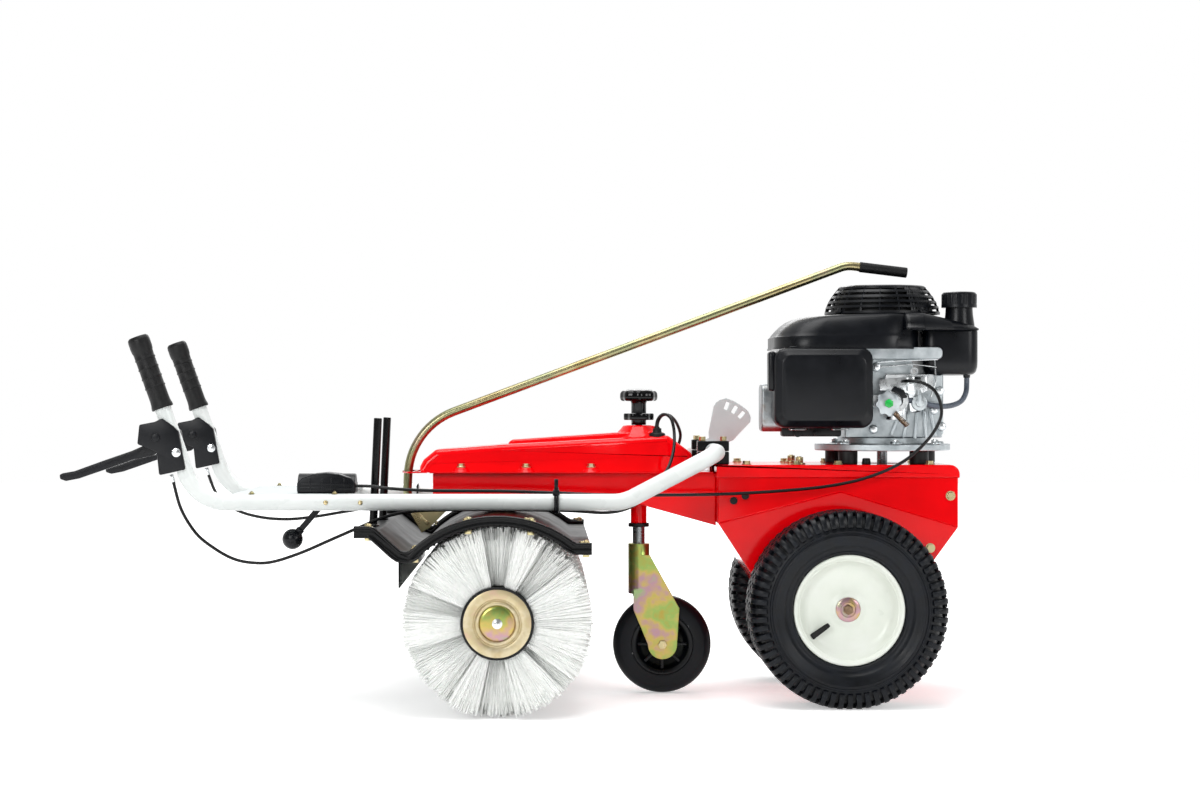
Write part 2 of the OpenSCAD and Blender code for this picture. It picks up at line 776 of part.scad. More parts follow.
module arm_cover() {
    slot_half = rod_d / 2 + slot_play;
    color("#d8262c") difference() {
        union() {
            along_y(-cover_w / 2, cover_w) polygon(cover_line(0));
            along_y(-spine_w / 2, spine_w) polygon([[bx, arm_top + cover_mid_z - sheet], [bx,
                arm_top + cover_mid_z],
                [bx + spine_rise * 2, arm_top + cover_mid_z + spine_rise],
                [bx + cover_shoulder - boss_r, arm_top + cover_shoulder_z + spine_rise],
                [bx + cover_shoulder, arm_top + cover_shoulder_z - sheet]]);
            z_rod(sx, 0, boss_r, arm_top + cover_shoulder_z - spine_rise * 2,
                boss_z - arm_top - cover_shoulder_z + spine_rise * 2);
            block([bx - cover_front_top, ax - lid_front + flange_under], [-flange_w / 2, flange_w / 2],
                [arm_top, arm_top + lip_t]);
            intersection() {
                z_rod(bx, 0, lip_reach, arm_top, lip_t);
                linear_extrude(2 * arm_top) polygon([[bx, 0], [bx - 2 * lip_reach,
                    -2 * lip_reach * tan(lip_a)],
                    [bx - 2 * lip_reach, 2 * lip_reach * tan(lip_a)]]);
            }
            for (s = [-1, 1]) for (p = pad_shares)
                z_rod(bx - cover_front_top + p * (cover_end + cover_front_top),
                    s * (flange_w / 2 - pad_r), pad_r, arm_top, pad_h);
        }
        along_y(-cover_w / 2 + sheet, cover_w - 2 * sheet) polygon(cover_line(sheet));
        block([bx + cover_end, ax], [-slot_w / 2, slot_w / 2], [arm_top - cut, arm_top + lip_t + cut]);
        for (s = [left_route, right_route]) let (e = s[len(s) - 1])
            z_rod(e[0], e[1], grommet_r + bead_gap, grommet_low - cut, boss_z - arm_top);
        z_rod(sx, 0, spindle_r + run_gap, arm_top, boss_z);
        z_rod(bx, 0, journal_flange_r, arm_top - cut, 2 * lip_t);
        intersection() {
            difference() {
                z_rod(bx, 0, rod_arc_r + slot_half, arm_top - cut, lip_t + 2 * cut);
                z_rod(bx, 0, rod_arc_r - slot_half, arm_top - 2 * cut, lip_t + 4 * cut);
            }
            translate([0, 0, arm_top - cut]) linear_extrude(lip_t + 2 * cut) polygon([[bx, 0],
                [bx - 2 * lip_reach, -2 * lip_reach * tan(slot_a)],
                [bx - 2 * lip_reach, 2 * lip_reach * tan(slot_a)]]);
        }
    }
}
module chassis_bolts() {
    color("#c9b458") {
        for (s = [-1, 1]) for (p = pad_shares)
            translate([bx - cover_front_top + p * (cover_end + cover_front_top),
                s * (flange_w / 2 - pad_r), arm_top + pad_h]) hex_bolt();
        for (s = [-1, 1]) for (p = deck_bolt_shares)
            translate([ax + p * chassis_rear, s * (half_w - 2 * washer_r), deck_top]) hex_bolt();
        for (s = [-1, 1]) for (u = [-1, 1]) translate([hx + u * clamp_bolt_at, s * clamp_at, clamp_top])
            cylinder(r = clamp_bolt_r, h = clamp_bolt_h, $fn = hex_sides);
        for (s = [-1, 1]) for (v = side_bolts)
            translate([ax + chassis_rear - v[0], s * (half_w + (v[1] < 0 ? crease_t : 0)),
                shoulder_rear_z + v[1]])
                rotate([-90 * s, 0, 0]) hex_bolt();
    }
}
module rubber_seals() {
    color("#1c1d1f") {
        difference() {
            z_rod(sx, 0, seal_r, socket_bottom - seal_t, seal_t);
            z_rod(sx, 0, stem_d / 2 + part_gap, socket_bottom - seal_t - cut, seal_t + 2 * cut);
        }
        for (p = [left_route, right_route]) let (e = p[len(p) - 1])
            z_rod(e[0], e[1], grommet_r, grommet_low, e[2] - grommet_low);
    }
}
module caster_socket() {
    color("#d8262c") difference() {
        z_rod(sx, 0, stem_d / 2 + socket_wall, socket_bottom, socket_top - socket_bottom);
        z_rod(sx, 0, stem_d / 2 + run_gap, socket_bottom - cut, socket_top - socket_bottom + 2 * cut);
    }
}
module handle_clamps() {
    color("#141517") for (s = [-1, 1]) for (half = [0, 1]) difference() {
        block([hx - clamp_x / 2, hx + clamp_x / 2], [s * clamp_at - clamp_y / 2,
            s * clamp_at + clamp_y / 2],
            half == 0 ? [deck_top, hinge_z - clamp_split / 2] : [hinge_z + clamp_split / 2, clamp_top]);
        y_rod(hx, hinge_z, tube_r + run_gap, s * clamp_at - clamp_y, 2 * clamp_y);
    }
}

// Engine
module engine_mounts() {
    color("#1c1d1f") for (p = mount_shares) z_rod(ex + p[0] * base_r, p[1] * base_r, mount_r, deck_top,
        mount_h);
}
module crankcase() {
    top = engine_z + base_t;
    color("#b7bbbd") difference() {
        union() {
            z_rod(ex, 0, base_r, engine_z, base_t);
            z_rod(ex, 0, sump_r, top - cut, block_low_h / 2);
            block([ex - block_front, ex + block_rear], [-block_y, block_y], [top + base_t,
                top + block_low_h]);
            block([ex - block_front, ex + block_step], [-block_y, block_y], [top + block_low_h - cut,
                top + case_h]);
            block([ex - barrel_front, ex - block_front + cut], [-barrel_half, barrel_half],
                [engine_z + barrel_z - barrel_half, engine_z + barrel_z + barrel_half]);
            for (i = [0 : fins - 1]) let (x = ex - barrel_front + i * (barrel_front - block_front) / fins)
                block([x, x + fin_t], [-barrel_half - fin_rise, barrel_half + fin_rise],
                    [engine_z + barrel_z - barrel_half - fin_rise,
                        engine_z + barrel_z + barrel_half + fin_rise]);
        }
        z_rod(ex, 0, crank_d / 2 + run_gap, engine_z - cut, case_h + base_t + 2 * cut);
    }
}
module shroud_form(t) {
    w = shroud_front + shroud_rear - 2 * t;
    outline = round_box(w, 2 * (shroud_y - t), shroud_round - t);
    translate([0, 0, t]) linear_extrude(shroud_band - t) polygon(outline);
    translate([w / 2, 0, shroud_band - cut])
        linear_extrude(shroud_h - shroud_band + cut - t, scale = shroud_taper)
            translate([-w / 2, 0]) polygon(outline);
}
module engine_shroud() {
    shelf_low = engine_z + tank_low + tank_h + shelf_gap;
    color("#202124") {
        translate([ex + (shroud_rear - shroud_front) / 2, 0, shroud_z]) difference() {
            shroud_form(0);
            shroud_form(shroud_wall);
            translate([(shroud_front - shroud_rear) / 2, 0, 0]) {
                translate([0, 0, -cut]) cylinder(r = crank_d, h = 2 * shroud_wall + cut);
                translate([0, 0, shroud_h - 2 * shroud_wall]) cylinder(r = fly_r + grille_wall,
                    h = 4 * shroud_wall);
            }
        }
        difference() {
            along_y(shelf_in - tank_y, 2 * (tank_y - shelf_in)) polygon([
                [ex + shroud_rear - shelf_lap, shelf_low], [ex + tank_rear - shelf_gap, shelf_low],
                [ex + tank_rear - shelf_gap, shelf_low + shelf_edge], [ex + neck_x - neck_r, shroud_top],
                [ex + shroud_rear - shelf_lap, shroud_top]]);
            z_rod(ex + neck_x, -neck_y, neck_r + shelf_gap, shelf_low - cut, shroud_h);
        }
    }
}
module starter_grille() {
    r1 = grille_r;
    r2 = grille_r * grille_top_share;
    color("#202124") translate([ex, 0, shroud_top]) difference() {
        cylinder(r1 = r1, r2 = r2, h = grille_h);
        translate([0, 0, -grille_wall]) cylinder(r1 = r1 - grille_wall, r2 = r2 - grille_wall,
            h = grille_h);
        for (i = [0 : grille_slots - 1]) rotate([0, 0, (2 * i + 1) * 180 / grille_slots])
            translate([r2 / 2, -slot_gap / 2, grille_wall * 3]) cube([r1, slot_gap,
                grille_h - grille_wall * 6]);
    }
}
module fuel_tank() {
    low = engine_z + tank_low;
    l = tank_rear - tank_front;
    color("#202124") {
        difference() {
            union() {
                translate([ex + (tank_front + tank_rear) / 2, 0, low]) linear_extrude(tank_h)
                    polygon(round_box(l, 2 * tank_y, tank_round));
                z_rod(ex + neck_x, -neck_y, neck_r, low + tank_h - cut, neck_h + cut);
            }
            translate([ex + (tank_front + tank_rear) / 2, 0,
                low + shroud_wall]) linear_extrude(tank_h - 2 * shroud_wall)
                polygon(round_box(l - 2 * shroud_wall, 2 * (tank_y - shroud_wall),
                    tank_round - shroud_wall));
            z_rod(ex + neck_x, -neck_y, neck_r - shroud_wall, low + tank_h - 2 * shroud_wall,
                neck_h + 4 * shroud_wall);
        }
    }
}
module fuel_cap() {
    low = engine_z + tank_low + tank_h + neck_h - cap_h + cap_wall + part_gap;
    color("#26272a") translate([ex + neck_x, -neck_y, low]) difference() {
        cylinder(r = cap_d / 2, h = cap_h);
        translate([0, 0, -cut]) cylinder(r = neck_r + run_gap, h = cap_h - cap_wall + cut);
    }
}
module air_cleaner() {
    x = ex - cleaner_front + cleaner_len / 2;
    z = engine_z + cleaner_low + cleaner_h / 2;
    color("#202124") {
        translate([x, -cleaner_near + cleaner_deep, z]) rotate([90, 0, 0])
            linear_extrude(cleaner_deep - cleaner_step)
                polygon(round_box(cleaner_len, cleaner_h, cleaner_round));
        translate([x, -cleaner_near + cleaner_step + cut, z]) rotate([90, 0, 0])
            linear_extrude(cleaner_step + cut, scale = cleaner_taper)
                polygon(round_box(cleaner_len - cleaner_edge, cleaner_h - cleaner_edge, cleaner_round));
    }
}
module carburettor() {
    color("#a9adb0") {
        difference() {
            union() {
                y_rod(ex + carb_x, engine_z + carb_z, carb_r, -block_y - carb_len, carb_len);
                z_rod(ex + carb_x, -block_y - carb_len / 2, bowl_r - cut, engine_z + carb_z - bowl_h,
                    bowl_h);
                block([ex - cleaner_front + cleaner_len - duct_in, ex + carb_x],
                    [-cleaner_near + cleaner_deep, -block_y],
                    [engine_z + carb_z - duct_h / 2, engine_z + carb_z + duct_h / 2]);
            }
            y_rod(ex + carb_x, engine_z + carb_z, carb_r / 2, -block_y - carb_len - cut, carb_len / 2);
        }
        block([ex + carb_x - carb_r, ex + carb_x - carb_r + plate_len], [-block_y - plate_h / 2, -block_y],
            [engine_z + plate_z, engine_z + plate_z + plate_t]);
        block([ex + carb_x - carb_r, ex + carb_x - carb_r + plate_len], [-block_y - plate_h / 2,
            -block_y - plate_h / 2 + plate_t],
            [engine_z + plate_z, engine_z + plate_z + plate_h]);
    }
}
module muffler() {
    z = engine_z + muffler_low + muffler_h / 2;
    color("#9fa3a5") {
        translate([ex - muffler_front, -muffler_y, z]) rotate([90, 0, 90]) linear_extrude(muffler_len)
            polygon(round_box(2 * muffler_half, muffler_h, muffler_round));
        x_rod(pipe_r - barrel_half, z, pipe_r, ex - muffler_front + muffler_len - cut,
            muffler_front - muffler_len - barrel_front + cut);
    }
}
module fuel_hose() color("#8f9396") cable(hose_route, hose_d);
module transaxle() {
    color("#8c9092") difference() {
        union() {
            block([ax - trans_x / 2, ax + trans_x / 2], [-trans_half, trans_half], [axle_z - trans_drop,
                axle_z - trans_drop + trans_z]);
            y_rod(ax, axle_z, trumpet_r, -half_w + sheet, chassis_w - 2 * sheet);
            for (s = [-1, 1]) y_rod(ax, axle_z, trumpet_flange_r,
                s < 0 ? -half_w + sheet : half_w - sheet - flange_t, flange_t);
        }
        y_rod(ax, axle_z, shaft_r + run_gap, -half_w, chassis_w);
    }
}
module drive_belt() {
    r1 = brush_pulley_r - groove + belt_gap;
    r2 = pulley_r - groove + belt_gap;
    span = brush_ahead + crank_behind;
    tilt = acos((r1 - r2) / span);
    function loop(t) = concat(arc([bx, 0], r1 + t, tilt, 360 - tilt, 24), arc([ex, 0], r2 + t, -tilt,
        tilt, 24));
    color("#2a2a2a") translate([0, 0, belt_z]) linear_extrude(belt_t) difference() {
        polygon(loop(groove));
        polygon(loop(0));
    }
}
module pulley(r) {
    lip = (pulley_t - belt_t) / 2 - belt_gap;
    cylinder(r = r, h = lip);
    cylinder(r = r - groove, h = pulley_t);
    translate([0, 0, pulley_t - lip]) cylinder(r = r, h = lip);
}
module crankshaft() {
    color("#9a9ea0") translate([ex, 0, 0]) {
        translate([0, 0, crank_low]) cylinder(r = crank_d / 2, h = shroud_top - fly_drop - crank_low);
        translate([0, 0, belt_z - (pulley_t - belt_t) / 2]) pulley(pulley_r);
    }
}
module flywheel() {
    color("#8d9193") translate([ex, 0, shroud_top - fly_drop]) {
        cylinder(r = fly_r, h = fly_h);
        for (i = [0 : vanes - 1]) rotate([0, 0, i * 360 / vanes])
            translate([fly_r * vane_shares[0], -vane_t / 2, fly_h - cut])
                cube([fly_r * (vane_shares[1] - vane_shares[0]), vane_t, vane_h]);
    }
}

// Caster
module caster_stem() {
    color("#6d7072") difference() {
        z_rod(sx, 0, stem_d / 2, stem_bottom, stem_top - stem_bottom);
        z_rod(sx, 0, spindle_r + spindle_play, stem_bore_bottom, stem_top - stem_bore_bottom + cut);
    }
}
module caster_fork() {
    nose = sleeve_r - fork_y - fork_t;
    color("#c9b458") difference() {
        union() {
            for (y = [0, nose]) z_rod(sx, y, sleeve_r, sleeve_bottom, sleeve_top - sleeve_bottom);
            block([sx - sleeve_r, sx + sleeve_r], [nose, 0], [sleeve_bottom, sleeve_top]);
            along_y(-fork_y - fork_t, fork_t) polygon([[sx, fork_top], [sx + sleeve_r, fork_top],
                [caster_x + fork_wide, fork_wide_z], [caster_x + fork_eye_r, caster_z],
                [caster_x - fork_eye_r, caster_z], [sx - sleeve_r + fork_heel, fork_heel_z],
                [sx - sleeve_r + fork_heel, sleeve_bottom + fork_heel], [sx, sleeve_bottom + fork_heel]]);
            y_rod(caster_x, caster_z, fork_eye_r, -fork_y - fork_t, fork_t);
        }
        z_rod(sx, 0, stem_d / 2 + run_gap, stem_bottom - part_gap, sleeve_top);
        y_rod(caster_x, caster_z, caster_bolt_r + run_gap, -fork_y - fork_t - cut, fork_t + 2 * cut);
    }
}
module caster_axle() {
    color("#c9b458") translate([caster_x, 0, caster_z]) rotate([-90, 0, 0]) {
        translate([0, 0, -fork_y - fork_t]) cylinder(r = caster_bolt_r, h = 2 * fork_y + fork_t);
        translate([0, 0, -fork_y - fork_t - bolt_h]) cylinder(r = caster_head_r, h = bolt_h,
            $fn = hex_sides);
        translate([0, 0, fork_y - fork_gap + part_gap]) cylinder(r = caster_head_r, h = bolt_h,
            $fn = hex_sides);
    }
}
module caster_rim() {
    color("#3a3c3f") translate([caster_x, 0, caster_z]) rotate([90, 0, 0]) difference() {
        union() {
            rotate_extrude() translate([caster_rim_r - caster_barrel,
                -caster_w / 2]) square([caster_barrel, caster_w]);
            translate([0, 0, -caster_w / 2]) cylinder(r = caster_hub_r, h = caster_w);
            for (i = [0 : caster_spokes - 1]) rotate([0, 0, 90 + i * 360 / caster_spokes])
                translate([caster_hub_r - cut, -spoke_t / 2,
                    -spoke_w / 2]) cube([caster_rim_r - caster_barrel - caster_hub_r + 2 * cut, spoke_t,
                    spoke_w]);
        }
        translate([0, 0, -caster_w]) cylinder(r = caster_bolt_r + run_gap, h = 2 * caster_w);
    }
}
module caster_tyre() {
    r = caster_d / 2;
    w = caster_w / 2;
    color("#1e1f21") translate([caster_x, 0, caster_z]) rotate([90, 0, 0]) rotate_extrude($fn = 96)
        polygon([[caster_rim_r + bead_gap, -w], [r - caster_crown * 2, -w], [r - caster_crown / 2,
            -w + caster_crown], [r, -w + 2 * caster_crown],
            [r, w - 2 * caster_crown], [r - caster_crown / 2, w - caster_crown], [r - caster_crown * 2,
                w], [caster_rim_r + bead_gap, w]]);
}
module height_knob() {
    color("#17181a") translate([sx, 0, 0]) {
        translate([0, 0, knob_top - knob_h]) {
            cylinder(r = knob_d / 2 - lobe_r, h = knob_h);
            for (i = [0 : knob_lobes - 1]) rotate([0, 0, i * 360 / knob_lobes])
                translate([knob_d / 2 - lobe_r, 0, 0]) cylinder(r = lobe_r, h = knob_h);
        }
        translate([0, 0, knob_top - knob_h - knob_neck_h]) cylinder(r = knob_neck_r, h = knob_neck_h + cut);
        translate([0, 0, spindle_bottom]) cylinder(r = spindle_r, h = knob_top - knob_h - spindle_bottom);
    }
}
module lock_nut() {
    hub_low = boss_z + part_gap;
    color("#17181a") translate([sx, 0, 0]) difference() {
        union() {
            translate([0, 0, nut_z]) cylinder(r = nut_r - lobe_r / 2, h = nut_h);
            for (i = [0 : knob_lobes - 1]) rotate([0, 0, i * 360 / knob_lobes])
                translate([nut_r - lobe_r / 2, 0, nut_z]) cylinder(r = lobe_r / 2, h = nut_h);
            translate([0, 0, hub_low]) cylinder(r = nut_hub_r, h = nut_z - hub_low + cut);
        }
        translate([0, 0, boss_z]) cylinder(r = spindle_r + run_gap, h = knob_top - boss_z);
    }
}

// Handle
function handle_corners(s) = [[hx, s * (clamp_at + clamp_y), hinge_z], [hx, s * handle_y, hinge_z],
    [bend_x, s * handle_y, straight_z], [corner_x, s * handle_y, straight_z],
    [corner_x - grip_rise * sin(grip_lean), s * handle_y, straight_z + grip_rise * cos(grip_lean)]];
handle_bends = [elbow_r, bend_r, corner_r];
module side_tube(s) {
    color("#eef0f0") bent_bar(handle_corners(s), handle_bends, tube_r, tube_wall);
}
module left_handle_tube() side_tube(-1);
module right_handle_tube() side_tube(1);
module cross_tube() {
    color("#eef0f0") difference() {
        union() {
            y_rod(hx, hinge_z, tube_r, -clamp_at - clamp_y, 2 * (clamp_at + clamp_y));
            along_y(-sector_t / 2, sector_t) difference() {
                intersection() {
                    translate([hx, hinge_z]) circle(r = sector_r);
                    translate([hx, hinge_z]) polygon(sector_r * sector_shares);
                }
                for (i = [0 : sector_slots - 1]) translate([hx,
                    hinge_z]) rotate(sector_first_a + i * sector_step_a)
                    translate([sector_r - sector_slot_len * sector_slot_share,
                        -sector_slot_r / 2]) square([sector_slot_len, sector_slot_r]);
            }
            y_rod(hx, hinge_z, sector_hub_r, -sector_t / 2, sector_t);
        }
        y_rod(hx, hinge_z, tube_r - tube_wall, -handle_y, handle_w);
    }
}
module cross_panel() {
    rear = hx - panel_rear;
    color("#dfe2e2") difference() {
        block([rear - panel_len, rear], [-handle_y, handle_y], [panel_top - panel_t, panel_top]);
        for (s = [-1, 1]) x_rod(s * handle_y, straight_z, tube_r + bead_gap, rear - panel_len - cut,
            panel_len + 2 * cut);
        for (s = [-1, 1]) block([rear - panel_len - cut, rear + cut], s < 0 ? [-handle_w,
            -handle_y] : [handle_y, handle_w],
            [panel_top - 2 * panel_t, panel_top + cut]);
        block([ax - throttle_x - throttle_hub_r - cut, ax - throttle_x + throttle_hub_r + cut],
            [-box_y - throttle_t - cheek_t, -box_y + throttle_t + cheek_t], [panel_top - 2 * panel_t,
                panel_top + cut]);
    }
}
// The frame of one grip: Z runs up the tube from its last bend
module on_grip(s) translate([corner_x, s * handle_y, straight_z]) rotate([0, -grip_lean, 0]) children();
module handle_grips() {
    r = grip_d / 2;
    color("#1a1b1d") for (s = [-1, 1]) on_grip(s) translate([0, 0,
        grip_rise - grip_len + grip_wall_end]) difference() {
        union() {
            cylinder(r = r, h = grip_len);
            translate([0, 0, grip_len - 4 * grip_wall_end]) cylinder(r1 = r, r2 = r + grip_flare,
                h = 4 * grip_wall_end);
            cylinder(r = r + grip_flare, h = grip_wall_end);
        }
        translate([0, 0, -cut]) cylinder(r = tube_r + bead_gap, h = grip_len - grip_wall_end + cut);
    }
}
module lever_brackets() {
    color("#1a1b1d") for (s = [-1, 1]) on_grip(s) {
        difference() {
            union() {
                translate([0, 0, bracket_low]) cylinder(r = bracket_r, h = bracket_high - bracket_low);
                block([-pivot_out - lever_hub_r, 0], [-lug_half, lug_half],
                    [lug_low, pivot_up + 2 * lever_hub_r]);
            }
            translate([0, 0, bracket_low - cut]) cylinder(r = tube_r + bead_gap,
                h = bracket_high - bracket_low + 2 * cut);
            block([-2 * pivot_out, -tube_r - lever_play], [-lever_t / 2 - lever_play,
                lever_t / 2 + lever_play],
                [pivot_up - 4 * lever_hub_r, bracket_high + cut]);
        }
        y_rod(-pivot_out, pivot_up, lever_pin_r, -lug_half, 2 * lug_half);
    }
}
module lever(s) {
    tip = -pivot_out - lever_len;
    color("#1a1b1d") on_grip(s) difference() {
        union() {
            y_rod(-pivot_out, pivot_up, lever_hub_r, -lever_t / 2, lever_t);
            along_y(-lever_t / 2, lever_t) polygon([[-pivot_out, pivot_up + lever_hub_r],
                [-pivot_out - lever_len * lever_waist_shares[0],
                    pivot_up + lever_hub_r * lever_waist_shares[1]], [tip,
                    pivot_up - lever_droop + lever_tip_h / 2],
                [tip, pivot_up - lever_droop - lever_tip_h / 2],
                    [-pivot_out - lever_len * lever_waist_shares[0], pivot_up - lever_hub_r],
                [-pivot_out, pivot_up - lever_hub_r]]);
            y_rod(tip, pivot_up - lever_droop, lever_tip_h * lever_waist_shares[1], -lever_t / 2, lever_t);
        }
        y_rod(-pivot_out, pivot_up, lever_pin_r + run_gap, -lever_t, 2 * lever_t);
    }
}
module left_lever() lever(-1);
module right_lever() lever(1);
module control_box() {
    x0 = hx - panel_rear - box_len + box_over;
    y = -box_y;
    color("#1c1d1f") {
        intersection() {
            x_rod(y, panel_top + box_base, box_half, x0, box_len);
            block([x0, x0 + box_len], [y - box_half, y + box_half], [panel_top,
                panel_top + box_base + box_half]);
        }
        for (s = [-1, 1]) let (c = y + s * (throttle_t / 2 + lever_play + cheek_t / 2))
            block([ax - throttle_x - throttle_hub_r, ax - throttle_x + throttle_hub_r], [c - cheek_t / 2,
                c + cheek_t / 2],
                [panel_top - throttle_drop - throttle_hub_r, panel_top + cut]);
        y_rod(ax - throttle_x, panel_top - throttle_drop, throttle_pin_r,
            y - throttle_t / 2 - lever_play - cheek_t,
            throttle_t + 2 * lever_play + 2 * cheek_t);
    }
}
module throttle_lever() {
    color("#1a1b1d") translate([ax - throttle_x, -box_y, panel_top - throttle_drop]) difference() {
        union() {
            y_rod(0, 0, throttle_hub_r - lever_play, -throttle_t / 2, throttle_t);
            rotate([0, 180 + 90 - throttle_angle, 0]) {
                translate([-throttle_w / 2, -throttle_t / 2, 0]) cube([throttle_w, throttle_t,
                    throttle_len]);
                translate([-collar_w / 2, -collar_w / 2, throttle_len - collar_h]) cube([collar_w,
                    collar_w, collar_h]);
                translate([0, 0, throttle_len - cut]) cylinder(r = ball_neck_r, h = ball_neck_r);
                translate([0, 0, throttle_len + ball_r * ball_up_share]) sphere(r = ball_r);
            }
        }
        y_rod(0, 0, throttle_pin_r + run_gap, -throttle_t, 2 * throttle_t);
    }
}

// Brush head
module brush_gearbox() {
    top = arm_bottom + sheet + part_gap + journal_flange_t;
    color("#3b3d40") difference() {
        union() {
            y_rod(bx, brush_z, gear_case_r, -gear_case_half, 2 * gear_case_half);
            z_rod(bx, 0, neck_tube_r, brush_z, arm_bottom - part_gap - brush_z);
            z_rod(bx, 0, journal_flange_r, arm_bottom - part_gap - yoke_t - journal_flange_t,
                journal_flange_t);
            z_rod(bx, 0, journal_r, arm_bottom - cut, top - arm_bottom);
            z_rod(bx, 0, journal_flange_r, arm_bottom + sheet + part_gap, journal_flange_t);
        }
        y_rod(bx, brush_z, gear_case_r - gear_case_wall, -gear_case_half + gear_case_wall,
            2 * (gear_case_half - gear_case_wall));
        y_rod(bx, brush_z, shaft_d / 2 + run_gap, -2 * gear_case_half, 4 * gear_case_half);
        z_rod(bx, 0, drive_r + run_gap, brush_z, top);
    }
}
function gear_outline(n, r, root) = [for (i = [0 : n - 1]) for (p = [[root, -1, 0], [-tooth_up, -1, 1],
    [-tooth_up, 1, 1], [root, 1, 0]])
    let (a = 360 / n * (i + p[1] * tooth_shares[p[2]])) [(r - p[0]) * cos(a), (r - p[0]) * sin(a)]];
module brush_drive() {
    face = cone_len * (1 - cone_face_share);
    color("#8d9193") translate([bx, 0, 0]) {
        translate([0, 0, brush_z + cone_len]) rotate([180, 0, 90]) linear_extrude(face,
            scale = cone_face_share)
            polygon(gear_outline(pinion_teeth, pinion_r, pinion_root));
        translate([0, 0, brush_z + cone_len - cut]) cylinder(r = drive_r,
            h = belt_z + pulley_t - brush_z - cone_len);
        translate([0, 0, belt_z - (pulley_t - belt_t) / 2]) pulley(brush_pulley_r);
    }
}
module brush_shaft() {
    ratio = pinion_r / gear_r;
    half = brush_len / 2 - core_web;
    color("#8d9193") translate([bx, 0, brush_z]) {
        rotate([90, 0, 0]) translate([0, 0, -half]) cylinder(r = shaft_d / 2, h = 2 * half);
        translate([0, cone_len * ratio, 0]) rotate([90, 0, 0]) rotate([0, 0, 90 + 180 / gear_teeth])
            linear_extrude(cone_len * ratio * (1 - cone_face_share), scale = cone_face_share)
                polygon(gear_outline(gear_teeth, gear_r, gear_root));
        translate([0, half, 0]) rotate([-90, 0, 0]) cylinder(r = shaft_bolt_r, h = core_web,
            $fn = hex_sides);
        translate([0, -half, 0]) rotate([90, 0, 0]) cylinder(r = shaft_bolt_r, h = core_web,
            $fn = hex_sides);
    }
}
core_end = brush_len / 2 - core_web - disc_t - disc_ring_t;
module brush_half(s) translate([bx, 0, brush_z]) rotate([-90 * s, 0, 0]) children();
module brush_cores() {
    color("#232427") for (s = [-1, 1]) brush_half(s) rotate_extrude() {
        translate([core_d / 2 - core_wall, core_start]) square([core_wall, core_end - core_start]);
        for (z = [core_start, core_end - core_web])
            translate([shaft_d / 2 + run_gap, z]) square([core_d / 2 - shaft_d / 2 - run_gap, core_web]);
    }
}
module end_discs() {
    color("#c9b458") for (s = [-1, 1]) brush_half(s) rotate_extrude() {
        translate([shaft_d / 2 + run_gap, core_end]) square([disc_ring_r - shaft_d / 2 - run_gap,
            disc_ring_t]);
        translate([shaft_d / 2 + run_gap,
            core_end + disc_ring_t - cut]) square([core_d * disc_plate_share, disc_t + cut]);
    }
}

// Strands stand on a sleeve: each row has a strand and a gap by turns, and rows are turned by half a step
module bristle_half(s) {
    r0 = core_d / 2 + backing_gap;
    r1 = r0 + backing_t;
    r2 = brush_d / 2;
    step = 360 / strands;
    n = 2 * strands;
    pitch = (core_end - core_start - strand_deep - 2 * strand_end) / (strand_rows - 1);
    function angle(row, k) =
        step * (floor(k / 2) + (row % 2) / 2) + (k % 2 == 0 ? -1 : 1) * step * strand_share / 2;
    function place(r, a, z) = [r * cos(a), r * sin(a), z];
    function row_z(row, e) = core_start + strand_end + row * pitch + e * strand_deep;
    function at(row, e, k) = (row * 2 + e) * n + k % n;
    tips = strand_rows * 2 * n;
    base = tips + strand_rows * 2 * n;
    function tip(row, e, k) = tips + at(row, e, k);
    points = concat(
        [for (row = [0 : strand_rows - 1]) for (e = [0, 1]) for (k = [0 : n - 1]) place(r1, angle(row,
            k), row_z(row, e))],
        [for (row = [0 : strand_rows - 1]) for (e = [0, 1]) for (k = [0 : n - 1]) place(r2, angle(row,
            k), row_z(row, e))],
        [for (e = [0, 1]) for (k = [0 : n - 1]) place(r0, angle(0, k), row_z(e * (strand_rows - 1), e))]);
    function quad(a, b, c, d) = [[a, b, c], [a, c, d]];
    faces = concat(
        [for (row = [0 : strand_rows - 1]) for (k = [0 : 2 : n - 1]) for (f = concat(
            quad(at(row, 0, k), tip(row, 0, k), tip(row, 1, k), at(row, 1, k)),
            quad(at(row, 1, k + 1), tip(row, 1, k + 1), tip(row, 0, k + 1), at(row, 0, k + 1)),
            quad(at(row, 0, k + 1), tip(row, 0, k + 1), tip(row, 0, k), at(row, 0, k)),
            quad(at(row, 1, k), tip(row, 1, k), tip(row, 1, k + 1), at(row, 1, k + 1)),
            quad(tip(row, 0, k), tip(row, 0, k + 1), tip(row, 1, k + 1), tip(row, 1, k)),
            quad(at(row, 0, k + 1), at(row, 0, k + 2), at(row, 1, k + 2), at(row, 1, k + 1)))) f],
        [for (row = [0 : strand_rows - 2]) for (k = [0 : n - 1]) for (f =
            quad(at(row, 1, k), at(row, 1, k + 1), at(row + 1, 0, k + 1), at(row + 1, 0, k))) f],
        [for (k = [0 : n - 1]) let (l = (k + 1) % n) for (f = concat(
            quad(base + l, base + k, base + n + k, base + n + l),
            quad(base + k, base + l, at(0, 0, l), at(0, 0, k)),
            quad(base + n + l, base + n + k, at(strand_rows - 1, 1, k), at(strand_rows - 1, 1, l)))) f]);
    brush_half(s) polyhedron(points, [for (f = faces) [f[2], f[1], f[0]]]);
}
module bristles() {
    color("#e9e6da") for (s = [-1, 1]) bristle_half(s);
}

